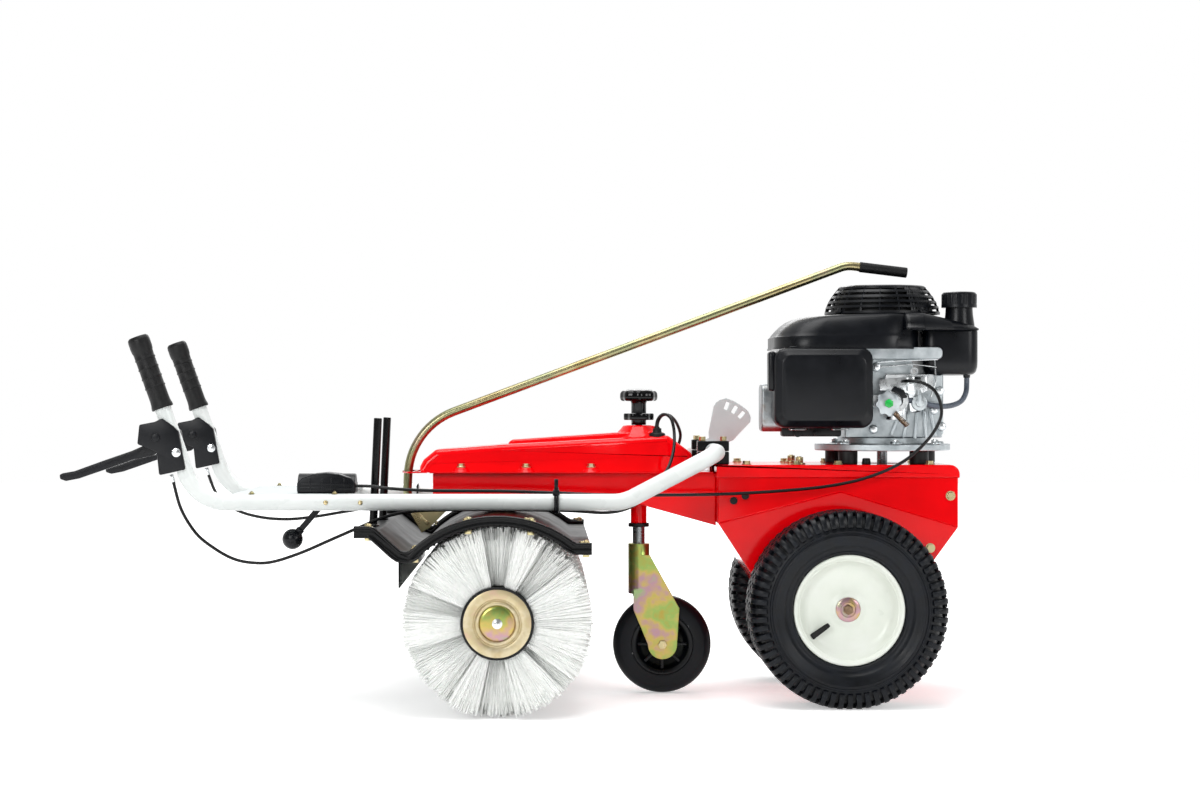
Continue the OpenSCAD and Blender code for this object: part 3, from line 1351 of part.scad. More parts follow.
// Hood: the skin's middle line, and bands laid on it
hood_cz = hood_crown - hood_r;
function hood_top(dx) = hood_cz + sqrt(hood_r * hood_r - dx * dx);
hood_arc_steps = 14;
hood_line = concat([[-hood_left, hood_flange_z], [hood_flange_len - hood_left, hood_flange_z],
    [-trough_left, trough_z]],
    [for (i = [0 : hood_arc_steps])
        let (dx = -trough_right + i * (trough_right + hood_right_dx) / hood_arc_steps) [dx, hood_top(dx)]],
    [[hood_right, hood_top(hood_right_dx)]]);
function hood_normal(i) = let (a = hood_line[max(i - 1, 0)], b = hood_line[min(i + 1,
    len(hood_line) - 1)], d = unit(b - a)) [-d[1], d[0]];
function hood_band(t0, t1) = concat([for (i = [0 : len(hood_line) - 1]) hood_line[i] + t1 * hood_normal(i)],
    [for (i = [len(hood_line) - 1 : -1 : 0]) hood_line[i] + t0 * hood_normal(i)]);
hood_half = brush_len / 2 + hood_over;
module hood_skin() {
    color("#1b1c1e") {
        difference() {
            translate([bx, 0, 0]) along_y(-hood_half, 2 * hood_half) polygon(hood_band(-hood_t, 0));
            z_rod(bx, 0, neck_tube_r + part_gap, brush_z, hood_crown);
        }
        block([bx - trough_left, bx - trough_left + skirt_t], [-hood_half, hood_half],
            [trough_z - hood_t - skirt_h, trough_z - hood_t / 2]);
    }
}
module hood_frame() {
    color("#141517") {
        for (s = [-1, 1]) translate([bx, 0, 0]) along_y(s < 0 ? -hood_half : hood_half - rail_w,
            rail_w) polygon(hood_band(0, rail_h));
        for (s = [-1, 1]) {
            foot = [bx - post_x, s * post_span / 2, hood_flange_z];
            head = [bx - post_x + post_lean, s * post_span / 2, post_top];
            difference() {
                union() {
                    on_line(foot - (head - foot) * post_sink_share, head)
                        cylinder(r = post_d / 2, h = norm(head - foot) * (1 + post_sink_share));
                    translate(foot) cylinder(r = post_foot_r, h = post_foot_h);
                }
                block([bx - 2 * hood_left, bx], [-hood_half, hood_half], [0, hood_flange_z]);
            }
        }
    }
}
module hood_bolts() {
    color("#c9b458") for (s = [-1, 1]) {
        y = s * (hood_half - rail_w / 2);
        for (dx = hood_bolt_flanges)
            translate([bx + dx, y, (dx < 0 ? hood_flange_z : hood_top(hood_right_dx)) + rail_h])
                cylinder(r = hood_bolt_r, h = bolt_h, $fn = hex_sides);
        for (i = hood_bolt_marks) let (n = hood_normal(i), f = hood_line[i] + rail_h * n)
            translate([bx + f[0], y, f[1]]) rotate([0, atan2(n[0], n[1]), 0])
                cylinder(r = hood_bolt_r, h = bolt_h, $fn = hex_sides);
    }
}
rod_corners = [[bx - foot_x, 0, foot_z], [bx - rod_knee_x, 0, rod_knee_z], [bx - rod_shoulder_x, 0,
    rod_shoulder_z],
    [bx + rod_bend_x, 0, rod_top], [bx + rod_end_x, 0, rod_top - rod_end_drop]];
module swivel_lever() color("#c9b458") bent_bar(rod_corners, [knee_r, shoulder_r, top_r], rod_d / 2);
module swivel_grip() {
    e = rod_corners[4];
    d = unit(rod_corners[3] - e);
    color("#1a1b1d") difference() {
        on_line(e - d * grip_wall_end, rod_corners[3]) cylinder(r = rod_grip_d / 2, h = rod_grip_len);
        on_line(e, rod_corners[3]) cylinder(r = rod_d / 2 + bead_gap, h = 2 * rod_grip_len);
    }
}
module swivel_bracket() {
    top = arm_bottom - part_gap - yoke_t;
    inner = plate_gap;
    color("#c9b458") {
        for (s = [-1, 1]) along_y(s < 0 ? -inner - gusset_t : inner, gusset_t)
            polygon([for (p = gusset_shares) [bx - gusset_x - p[0] * gusset_len,
                top + yoke_t - gusset_h + p[1] * gusset_h]]);
        difference() {
            union() {
                block([bx - gusset_x - 2 * gusset_t, bx], [-yoke_w / 2, yoke_w / 2], [top, top + yoke_t]);
                z_rod(bx, 0, journal_flange_r + gusset_t, top, yoke_t);
            }
            z_rod(bx, 0, neck_tube_r + bead_gap, top - cut, yoke_t + 2 * cut);
        }
        y_rod(bx - foot_x, foot_z - rod_d / 2 - bolt_r, bolt_r / 2, -inner - gusset_t - bolt_h,
            2 * (inner + gusset_t + bolt_h));
    }
}
module clutch_cable_left() color("#17181a") cable(left_route, cable_d);
module clutch_cable_right() color("#17181a") cable(right_route, cable_d);
module throttle_cable() color("#17181a") cable(throttle_route, cable_d);

chassis_housing();
deck_plate();
front_arm();
arm_cover();
chassis_bolts();
rubber_seals();
caster_socket();
handle_clamps();
engine_mounts();
crankcase();
engine_shroud();
starter_grille();
fuel_tank();
air_cleaner();
carburettor();
muffler();
fuel_hose();
transaxle();
drive_belt();
crankshaft();
flywheel();
fuel_cap();
left_tyre();
left_rim();
left_axle();
right_tyre();
right_rim();
right_axle();
caster_stem();
caster_fork();
caster_axle();
caster_rim();
caster_tyre();
height_knob();
lock_nut();
left_handle_tube();
right_handle_tube();
cross_tube();
cross_panel();
handle_grips();
lever_brackets();
control_box();
left_lever();
right_lever();
throttle_lever();
brush_gearbox();
hood_skin();
hood_frame();
hood_bolts();
swivel_lever();
swivel_grip();
swivel_bracket();
brush_drive();
brush_shaft();
brush_cores();
end_discs();
bristles();
clutch_cable_left();
clutch_cable_right();
throttle_cable();
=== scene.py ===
"""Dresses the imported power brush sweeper: finishes, round edges, tread, bristles, cables and fittings"""

import json
import math
import random

import bmesh
import bpy
from mathutils import Matrix, Vector

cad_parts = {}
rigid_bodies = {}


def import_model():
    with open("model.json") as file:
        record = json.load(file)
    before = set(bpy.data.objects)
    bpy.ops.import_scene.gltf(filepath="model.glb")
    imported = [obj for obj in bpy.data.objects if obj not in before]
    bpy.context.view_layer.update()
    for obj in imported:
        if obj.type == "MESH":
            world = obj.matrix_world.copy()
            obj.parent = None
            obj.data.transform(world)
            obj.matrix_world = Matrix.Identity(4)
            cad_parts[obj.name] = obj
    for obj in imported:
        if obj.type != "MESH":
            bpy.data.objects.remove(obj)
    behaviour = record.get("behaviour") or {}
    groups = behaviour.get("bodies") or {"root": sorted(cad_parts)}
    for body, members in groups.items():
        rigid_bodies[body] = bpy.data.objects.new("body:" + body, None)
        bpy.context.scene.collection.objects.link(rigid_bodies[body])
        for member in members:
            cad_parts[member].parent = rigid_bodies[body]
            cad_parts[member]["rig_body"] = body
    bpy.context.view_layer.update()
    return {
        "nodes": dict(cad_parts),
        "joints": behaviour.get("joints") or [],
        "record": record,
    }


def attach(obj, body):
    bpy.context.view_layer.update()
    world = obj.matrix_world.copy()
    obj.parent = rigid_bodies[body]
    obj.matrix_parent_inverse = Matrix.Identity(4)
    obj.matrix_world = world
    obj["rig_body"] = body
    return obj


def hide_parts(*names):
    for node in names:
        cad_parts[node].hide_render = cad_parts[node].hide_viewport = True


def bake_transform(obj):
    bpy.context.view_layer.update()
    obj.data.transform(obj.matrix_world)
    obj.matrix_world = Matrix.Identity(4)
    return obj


bl_info = {
    "name": "Power Brush Sweeper",
    "version": (1, 0, 0),
    "blender": (4, 5, 0),
    "location": "View3D > Sidebar > Sweeper",
    "description": "Builds the looks of a walk-behind power brush sweeper around its packed solids",
    "category": "Object",
}

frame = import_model()
NODES = frame["nodes"]
MM = 0.001
FINISHES = {}


def centre(joint):
    """The place of a joint of the frame, in mm"""
    return Vector(next(j["pos_m"] for j in frame["joints"] if j["name"] == joint)) / MM


# Stations of the machine, from the joints of the frame
AXLE = centre("right_wheel_spin")
BRUSH = centre("brush_spin")
CASTER = centre("caster_spin")
STEM = centre("knob_turn")
HINGE = centre("handle_fold")
CRANK = centre("crank_spin")
PIVOT = centre("right_lever_press")
NECK = centre("fuel_cap_turn")

# Further places and sizes of the solids, in millimetres
HANDLE_R = 17
HANDLE_Z = 414
GRIP_FOOT = Vector((-672, PIVOT.y, HANDLE_Z))
GRIP_LEAN = math.radians(19.6)
GRIP_RUN = 350
LEVER_HALF = 6
CHEEK_OUT = 24
CHEEK_IN = 8
DECK_TOP = 487
HOUSING_Y = -146
CASTING_Y = -95
BOOTS = ((270, -50), (270, -12))
BRISTLE_ROOT = 72
BRISTLE_TIP = 187

# Routes of the cables in mm, the clutch cables' from below their leads on
SHEATH_R = 3.4
ROUTES = {
    "clutch_cable_left": [
        (-702, -266, 400), (-672, -268, 352), (-636, -268, 322), (-596, -268, 300), (-556, -268, 292),
        (-516, -266, 294), (-460, -262, 312), (-400, -256, 338), (-340, -249, 364), (-290, -243, 384),
        (-220, -239, 396), (-60, -238, 398), (80, -238, 396), (160, -236, 392), (210, -228, 404),
        (250, -208, 436), (284, -176, 476), (300, -136, 516), (303, -108, 552), (299.3, -93.4, 577),
        (293.5, -84.9, 587.2), (285.7, -73.2, 591), (277.8, -61.6, 587.2), (272.1, -53.1, 577),
        (270, -50, 563), (270, -50, 552)],
    "clutch_cable_right": [
        (-698, 266, 408), (-656, 266, 376), (-600, 262, 360), (-540, 258, 356), (-480, 252, 362),
        (-420, 247, 372), (-360, 242, 382), (-290, 239, 392), (-200, 238, 398), (-40, 238, 398),
        (120, 237, 396), (190, 228, 402), (240, 204, 424), (280, 164, 462), (312, 120, 502),
        (326, 84, 540), (318, 55, 569), (303, 28, 586.5), (287.4, 9.9, 591), (278.7, -1, 587.2),
        (272.3, -9.1, 577), (270, -12, 563), (270, -12, 552)],
    "throttle_cable": [
        (-353, -226, 446), (-336, -226, 446), (-312, -231, 445), (-280, -237, 441), (-200, -238, 437),
        (-60, -238, 436), (60, -238, 432), (160, -234, 428), (280, -214, 427), (400, -188, 428),
        (520, -172, 434), (620, -168, 444), (700, -166, 462), (772, -166, 494), (822, -166, 538),
        (848, -166, 580), (850, -164, 612), (838, -160, 640), (818, -153, 655), (801, -147, 660),
        (787, -138, 661), (778.6, -126, 660.4), (776, -112, 660)],
}

# Camera of the photograph's view: its place in metres, and the shift of its lens
EYE = (0.03355, -5.28, 0.6108)
EYE_SHIFT = (0.0458, 0.0042)

# Outline of a clutch lever about its pivot, and of the bracket's cheeks, in X and Z
LEVER = [(14, -18), (15, 2), (4, 14), (-10, 13), (-22, -14), (-51, -27), (-109, -47), (-167, -68),
         (-190, -72), (-197, -75), (-196, -84), (-184, -88), (-158, -83), (-109, -66), (-46, -44),
         (-6, -36)]
CHEEK = [(-744, 469), (-691, 481), (-694, 497), (-705, 558), (-715, 568), (-738, 584), (-753, 577),
         (-784, 571), (-788, 532), (-749, 517)]


class SweeperSizes(bpy.types.PropertyGroup):
    """Sizes and counts of the dressed sweeper"""

    edge: bpy.props.FloatProperty(
        name="Edge round", description="Radius of the edges of moulded and pressed parts",
        default=1.2 * MM, min=0.2 * MM, max=3 * MM, precision=4, unit="LENGTH")
    lugs: bpy.props.IntProperty(
        name="Tread lugs", description="Lugs round each shoulder of a drive tyre",
        default=64, min=32, max=80)
    rings: bpy.props.IntProperty(
        name="Brush rings", description="Rings of bristles on each half of the brush",
        default=11, min=8, max=14)
    lens: bpy.props.FloatProperty(
        name="Lens", description="Focal length of the camera", default=74.4, min=35, max=120, unit="CAMERA")


class SweeperColours(bpy.types.PropertyGroup):
    """Colours of the dressed sweeper, as sRGB hex values"""

    body: bpy.props.StringProperty(
        name="Body", description="Enamel of the chassis and cover", default="#f6000a")
    handle: bpy.props.StringProperty(
        name="Handle", description="Powder coat of the handlebar", default="#e6eae8")
    rim: bpy.props.StringProperty(name="Rims", description="Enamel of the wheel rims", default="#e6ebe1")
    floor: bpy.props.StringProperty(name="Floor", description="Studio floor and backdrop", default="#f4f4f4")


def linear(code, alpha=1.0):
    """An sRGB hex colour as linear RGBA"""
    parts = [int(code[i:i + 2], 16) / 255 for i in (1, 3, 5)]
    return (*[c / 12.92 if c <= 0.04045 else ((c + 0.055) / 1.055) ** 2.4 for c in parts], alpha)


def add(tree, kind, settings=None, **inputs):
    """One shader node, with its settings and with values or links on its inputs"""
    made = tree.nodes.new("ShaderNode" + kind)
    for key, value in (settings or {}).items():
        setattr(made, key, value)
    for key, value in inputs.items():
        socket = made.inputs[key.replace("_", " ")]
        if isinstance(value, bpy.types.NodeSocket):
            tree.links.new(value, socket)
        else:
            socket.default_value = value
    return made


def finish(name, tones, patch, rough, grain=None, metallic=0.0, stretch=(1, 1, 1), **sockets):
    """A surface: tones in soft patches, a roughness range and a grain of (size, height), in mm"""
    made = bpy.data.materials.new(name)
    made.use_nodes = True
    tree = made.node_tree
    shader = tree.nodes["Principled BSDF"]
    place = add(tree, "TexCoord").outputs["Object"]
    turned = add(tree, "Mapping", Vector=place, Scale=stretch).outputs["Vector"]
    cloud = add(tree, "TexNoise", Vector=turned, Scale=1 / (patch * MM), Detail=3.0,
                Roughness=0.6).outputs["Fac"]
    ramp = add(tree, "ValToRGB", Fac=cloud)
    stops = ramp.color_ramp.elements
    while len(stops) < len(tones):
        stops.new(0.5)
    for i, tone in enumerate(tones):
        stops[i].position = 0.3 + 0.4 * i / max(len(tones) - 1, 1)
        stops[i].color = linear(tone)
    tree.links.new(ramp.outputs["Color"], shader.inputs["Base Color"])
    spread = add(tree, "MapRange", Value=cloud, From_Min=0.3, From_Max=0.7, To_Min=rough[0], To_Max=rough[1])
    tree.links.new(spread.outputs["Result"], shader.inputs["Roughness"])
    if grain:
        fine = add(tree, "TexNoise", Vector=turned, Scale=1 / (grain[0] * MM), Detail=2.0).outputs["Fac"]
        bump = add(tree, "Bump", Height=fine, Strength=1.0, Distance=grain[1] * MM)
        tree.links.new(bump.outputs["Normal"], shader.inputs["Normal"])
    shader.inputs["Metallic"].default_value = metallic
    for key, value in sockets.items():
        shader.inputs[key.replace("_", " ")].default_value = value
    FINISHES[name] = made
    return made


def mix_finishes(colours):
    """Every finish of the machine"""
    # Gloss enamel on pressed steel: deep colour with faint orange peel
    finish("red_enamel", ["#ec0008", colours.body, "#fc000c"], 160, (0.07, 0.12), (4.0, 0.006),
           Specular_IOR_Level=0.24)
    # Powder coat on drawn tube: bright, soft gloss, slightly pebbled
    finish("white_powder_coat", ["#dee3e1", colours.handle], 90, (0.22, 0.32), (2.6, 0.01))
    # Sprayed paint on the slotted sector and the cross panel: pale grey, soft gloss
    finish("pale_grey_paint", ["#c8cfd0", "#d2d8d8"], 60, (0.3, 0.42), (2.4, 0.01), Specular_IOR_Level=0.24)
    # Satin enamel on spun rims: a cool off-white, nearly even
    finish("cream_enamel", ["#e1e7dc", colours.rim, "#eaeee6"], 70, (0.26, 0.38), (3.0, 0.01))
    # Black powder coat on the hood and its rails: long highlights, soft at the edges
    finish("black_powder_coat", ["#030304", "#060708"], 60, (0.16, 0.26), (2.4, 0.01),
           Specular_IOR_Level=0.24)
    # The same coat on the hood's sheet: dulled by dust, with a wide, faint sheen
    finish("dusty_black", ["#040405", "#08090a"], 80, (0.3, 0.4), (2.4, 0.01), Specular_IOR_Level=0.1)
    # Moulded tyre rubber: black, dull, with a fine mould grain; the faint blue in its tones is a painted
    # tint of the bluish sheen
    finish("tyre_rubber", ["#05070b", "#080c12", "#0c1119"], 35, (0.34, 0.48), (1.4, 0.05),
           Specular_IOR_Level=0.24)
    # Moulded soft rubber of grips, mounts and grommets: dull black with a fine grain
    finish("soft_rubber", ["#050506", "#08090a"], 30, (0.42, 0.58), (1.0, 0.04), Specular_IOR_Level=0.3)
    # Moulded ABS: black with a low sheen and a spark-eroded grain, drawn a little coarse so that it shows;
    # the faint blue in its tones is a painted tint of its blue-grey highlights
    finish("satin_abs", ["#04060a", "#070a10"], 50, (0.26, 0.38), (0.9, 0.02), Specular_IOR_Level=0.26)
    # Polished phenolic of the star knobs: deep black with small, sharp lights
    finish("gloss_phenolic", ["#030304", "#050607"], 40, (0.08, 0.14), (4.0, 0.006), Specular_IOR_Level=0.24)
    # Yellow passivated zinc: pale gold with faint clouds of green and rose
    finish("yellow_zinc", ["#b3a274", "#c4b48a", "#b8b288", "#c6ad92"], 55, (0.24, 0.34), (5.0, 0.008),
           metallic=1.0)
    # The same plating on drawn bar: smooth, with long pale clouds
    finish("zinc_bar", ["#8d8056", "#a99d76", "#8c8f6c", "#a58e7c"], 150, (0.26, 0.34), metallic=1.0)
    # The same plating where it is thick: green and rose bands over gold
    finish("rainbow_zinc", ["#a8954a", "#8ea85c", "#bba65e", "#b08a96", "#98b07c"], 60, (0.28, 0.36),
           (5.0, 0.008), metallic=1.0)
    # The same plating rubbed dull on the stamped end plates
    finish("frosted_zinc", ["#b8a884", "#c9bd9f", "#bfb18c", "#c4ab92"], 40, (0.4, 0.5), (2.0, 0.02),
           metallic=1.0)
    # Bright zinc plating on links, clips and nuts: pale, even metal
    finish("bright_zinc", ["#cdd1d3", "#e2e5e6"], 18, (0.22, 0.34), (2.0, 0.008), metallic=1.0)
    # Sand-cast aluminium: pale, dull metal with a pebbled skin
    finish("cast_aluminium", ["#9aa2a6", "#b0b7ba", "#c4cacc"], 30, (0.36, 0.5), (1.2, 0.05), metallic=1.0)
    # Turned steel of shafts: grey metal with faint rings
    finish("turned_steel", ["#85898b", "#9da1a3"], 20, (0.24, 0.36), (0.8, 0.01), metallic=1.0,
           stretch=(1, 1, 8))
    # Aluminised sheet of the muffler: dull grey, slightly clouded
    finish("muffler_sheet", ["#8a8e91", "#a2a6a8", "#8f8a84"], 24, (0.34, 0.48), (1.4, 0.02), metallic=1.0)
    # Drawn polypropylene filament: milky white, slightly see-through at the tips
    finish("polypropylene", ["#f0f3f0", "#f8faf7", "#fdfefc"], 9, (0.42, 0.54), Subsurface_Weight=0.3,
           Subsurface_Radius=(0.006, 0.006, 0.006))
    # Moulded rubber of the fuel hose: slate grey and dull
    finish("grey_hose", ["#4d545f", "#5c6470"], 20, (0.4, 0.5), (1.0, 0.02))
    # Drawn plastic of the cable sheaths: black, with one soft line of light
    finish("cable_sheath", ["#040405", "#08090a"], 20, (0.26, 0.36), (1.2, 0.01), Specular_IOR_Level=0.3)
    # Green lacquer on one bolt head: clear and bright
    finish("green_lacquer", ["#0b9a38", "#1cc554"], 8, (0.22, 0.32), (1.2, 0.01))
    # Bronzed steel of the spring and the axle bolts: warm brown metal
    finish("spring_wire", ["#6f5b49", "#937b64"], 6, (0.3, 0.4), metallic=1.0)


def placed(bm, matrix):
    """A shape moved to a frame"""
    bmesh.ops.transform(bm, matrix=matrix, verts=bm.verts)
    return bm


def at(x=0, y=0, z=0):
    """The frame moved to a place, in mm"""
    return Matrix.Translation(Vector((x, y, z)) * MM)


def spun(angle, axis="Z"):
    """The frame turned about one of its axes"""
    return Matrix.Rotation(angle, 4, axis)


def evenly(count):
    """Frames at even turns about Z"""
    return [spun(math.tau * k / count) for k in range(count)]


def along(a, b):
    """The frame at a point a, in mm, whose Z runs to b"""
    a, b = Vector(a) * MM, Vector(b) * MM
    return Matrix.Translation(a) @ (b - a).to_track_quat("Z", "Y").to_matrix().to_4x4()


def soften(bm, width, segments=2, angle=35):
    """Rounds the sharp edges of a shape, by a radius in mm"""
    sharp = [e for e in bm.edges if e.is_manifold and e.calc_face_angle(0) > math.radians(angle)]
    if sharp:
        bmesh.ops.bevel(bm, geom=sharp, offset=width * MM, affect="EDGES", segments=segments, profile=0.5,
                        clamp_overlap=True, material=-1)
    return bm


def both_ways(half):
    """A closed profile of radius and height, from its upper half"""
    return [*half, *[(r, -h) for r, h in reversed(half) if h], half[0]]


def lathe(profile, steps=64):
    """A shape turned about Z from points of radius and height, in mm"""
    bm = bmesh.new()
    verts = [bm.verts.new((r * MM, 0, h * MM)) for r, h in profile]
    for a, b in zip(verts, verts[1:]):
        bm.edges.new((a, b))
    bmesh.ops.spin(bm, geom=bm.verts[:] + bm.edges[:], cent=(0, 0, 0), axis=(0, 0, 1), angle=math.tau,
                   steps=steps, use_merge=True)
    bmesh.ops.remove_doubles(bm, verts=bm.verts, dist=1e-6)
    bmesh.ops.dissolve_degenerate(bm, edges=bm.edges, dist=1e-7)
    bmesh.ops.recalc_face_normals(bm, faces=bm.faces)
    return bm


def slab(outline, low, high, edge=0.0, segments=2):
    """A plate: an outline in X and Z, drawn out along Y from low to high, in mm"""
    bm = bmesh.new()
    face = bm.faces.new([bm.verts.new((x * MM, low * MM, z * MM)) for x, z in outline])
    grown = bmesh.ops.extrude_face_region(bm, geom=[face])["geom"]
    bmesh.ops.translate(bm, vec=(0, (high - low) * MM, 0),
                        verts=[v for v in grown if isinstance(v, bmesh.types.BMVert)])
    bmesh.ops.recalc_face_normals(bm, faces=bm.faces)
    return soften(bm, edge, segments) if edge else bm


def round_corners(points, radius, steps=4):
    """A closed outline with each corner rounded by a radius in mm"""
    p = [Vector((*q, 0)) for q in points]
    line = []
    for a, b, c in zip([p[-1], *p[:-1]], p, [*p[1:], p[0]]):
        line += bent_line([a, b, c], [radius], steps)[1:-1]
    return [(q.x, q.y) for q in line]


def box_outline(low, high, radius, steps=6):
    """A rectangle with round corners, in mm"""
    return round_corners([low, (high[0], low[1]), high, (low[0], high[1])], radius, steps)


def stack(outline, levels, hold=(0, 0)):
    """Closed sections: an outline in X and Y at each height in mm, scaled by shares about a held point"""
    hold = Vector((*hold, 0)) * MM
    bm = bmesh.new()
    face = bm.faces.new([bm.verts.new((x * MM, y * MM, 0)) for x, y in outline])
    rest = [v.co.copy() for v in face.verts]
    for step, (height, wide, *other) in enumerate(levels):
        deep = other[0] if other else wide
        if step:
            face = bmesh.ops.extrude_discrete_faces(bm, faces=[face])["faces"][0]
        for v, flat in zip(face.verts, rest):
            v.co = hold + Vector(((flat.x - hold.x) * wide, (flat.y - hold.y) * deep, height * MM))
    bm.faces.new(bm.verts[:len(rest)])
    bmesh.ops.recalc_face_normals(bm, faces=bm.faces)
    return bm


def brick(low, high, edge=0.0, segments=2):
    """A box between two corners, in mm"""
    low, high = Vector(low) * MM, Vector(high) * MM
    bm = bmesh.new()
    bmesh.ops.create_cube(bm, size=1)
    bmesh.ops.scale(bm, vec=high - low, verts=bm.verts)
    bmesh.ops.translate(bm, vec=(low + high) / 2, verts=bm.verts)
    return soften(bm, edge, segments) if edge else bm


def rod(a, b, radius, tip=None, sides=24, edge=0.0):
    """A round or many-sided bar from a to b, in mm"""
    length = (Vector(b) - Vector(a)).length * MM
    bm = bmesh.new()
    bmesh.ops.create_cone(bm, cap_ends=True, segments=sides, radius1=radius * MM,
                          radius2=(radius if tip is None else tip) * MM, depth=length)
    bmesh.ops.translate(bm, vec=(0, 0, length / 2), verts=bm.verts)
    placed(bm, along(a, b))
    return soften(bm, edge) if edge else bm


def hex_head(a, way, radius=8, height=6, washer=10, washer_t=2):
    """A hexagon bolt head on its washer, standing on a along a direction, in mm"""
    a, way = Vector(a), Vector(way).normalized()
    return joined([rod(a, a + way * washer_t, washer, edge=0.5),
                   rod(a + way * washer_t, a + way * (washer_t + height), radius, sides=6, edge=0.8),
                   rod(a + way * (washer_t + height), a + way * (washer_t + height + 1.5), radius * 0.5,
                       edge=0.4)])


def smooth_line(points, steps=6):
    """A smooth curve through points"""
    p = [Vector(q) for q in points]
    p = [2 * p[0] - p[1], *p, 2 * p[-1] - p[-2]]
    line = []
    for a, b, c, d in zip(p, p[1:], p[2:], p[3:]):
        for i in range(steps):
            t = i / steps
            line.append(0.5 * (2 * b + (c - a) * t + (2 * a - 5 * b + 4 * c - d) * t * t
                               + (3 * b - a - 3 * c + d) * t ** 3))
    return [*line, p[-2]]


def bent_line(corners, radii, steps=14):
    """Straight runs with a round bend of its own radius at each inner corner"""
    p = [Vector(q) for q in corners]
    line = [p[0]]
    for a, b, c, r in zip(p, p[1:], p[2:], radii):
        u, v = (b - a).normalized(), (c - b).normalized()
        turn = u.angle(v)
        side = (v - u * u.dot(v)).normalized()
        middle = b - u * r * math.tan(turn / 2) + side * r
        line += [middle + r * (math.sin(turn * k / steps) * u - math.cos(turn * k / steps) * side)
                 for k in range(steps + 1)]
    return [*line, p[-1]]


def tube(line, radius, sides=2, capped=True):
    """A round bar along a line of points, in mm"""
    curve = bpy.data.curves.new("line", "CURVE")
    curve.dimensions = "3D"
    spline = curve.splines.new("POLY")
    spline.points.add(len(line) - 1)
    for point, place in zip(spline.points, line):
        point.co = (*(Vector(place) * MM), 1)
    curve.bevel_depth = radius * MM
    curve.bevel_resolution = sides
    curve.use_fill_caps = capped
    holder = bpy.data.objects.new("line", curve)
    mesh = bpy.data.meshes.new_from_object(holder)
    bm = bmesh.new()
    bm.from_mesh(mesh)
    bmesh.ops.remove_doubles(bm, verts=bm.verts, dist=1e-6)
    bmesh.ops.recalc_face_normals(bm, faces=bm.faces)
    bpy.data.objects.remove(holder)
    bpy.data.curves.remove(curve)
    bpy.data.meshes.remove(mesh)
    return bm


def as_mesh(bm, name="part"):
    """A shape as a mesh, with the shape itself freed"""
    mesh = bpy.data.meshes.new(name)
    bm.to_mesh(mesh)
    bm.free()
    return mesh


def joined(parts):
    """Several shapes as one"""
    out = bmesh.new()
    for bm in parts:
        mesh = as_mesh(bm)
        out.from_mesh(mesh)
        bpy.data.meshes.remove(mesh)
    return out


def repeated(bm, places):
    """One shape set at each of several frames"""
    mesh = as_mesh(bm)
    out = bmesh.new()
    for place in places:
        copy = mesh.copy()
        copy.transform(place)
        out.from_mesh(copy)
        bpy.data.meshes.remove(copy)
    bpy.data.meshes.remove(mesh)
    return out


def show(name, bm, finish_name, body, slot, *stands_for, smooth=38):
    """Makes a shape a piece of the object: its finish, its body and the solids that it stands for"""
    mesh = as_mesh(bm, name)
    mesh.materials.append(FINISHES[finish_name])
    mesh.shade_smooth()
    mesh.set_sharp_from_angle(angle=math.radians(smooth))
    piece = bpy.data.objects.new(name, mesh)
    bpy.context.scene.collection.objects.link(piece)
    if body:
        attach(piece, body)
    if stands_for:
        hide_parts(*stands_for)
    return piece


def body_of(node):
    """The body that carries a solid"""
    return NODES[node]["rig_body"]


def slot_of(node):
    """The material slot of a solid"""
    return next(s["material_slot"] for s in frame["record"]["subparts"] if s["node"] == node)


def dressed(node, bm, finish_name, smooth=38):
    """A finer piece in the place of a solid, on its body"""
    return show(node + "_dressed", bm, finish_name, body_of(node), slot_of(node), node, smooth=smooth)


def solid_copy(node):
    """A clean copy of a solid, with its flat faces whole again"""
    bm = bmesh.new()
    bm.from_mesh(NODES[node].data)
    bmesh.ops.remove_doubles(bm, verts=bm.verts, dist=2e-6)
    bmesh.ops.dissolve_limit(bm, angle_limit=math.radians(0.8), verts=bm.verts, edges=bm.edges)
    return bm


def rounded(node, finish_name, width, segments=2):
    """A solid with its edges rounded, in the place of the plain one"""
    piece = dressed(node, solid_copy(node), finish_name)
    edges = piece.modifiers.new("Rounded edges", "BEVEL")
    edges.limit_method = "ANGLE"
    edges.angle_limit = math.radians(38)
    edges.width = width * MM
    edges.segments = segments
    edges.use_clamp_overlap = False
    edges.harden_normals = True
    return piece


def on_grip(side):
    """The frame of one grip, whose Z runs up the tube from its last bend"""
    return at(GRIP_FOOT.x, side * GRIP_FOOT.y, GRIP_FOOT.z) @ spun(-GRIP_LEAN, "Y")


def on_axle(middle, side):
    """The frame of a wheel or of the brush, whose Z points away from the machine on one side"""
    return at(middle.x, side * middle.y, middle.z) @ spun(-side * math.pi / 2, "X")


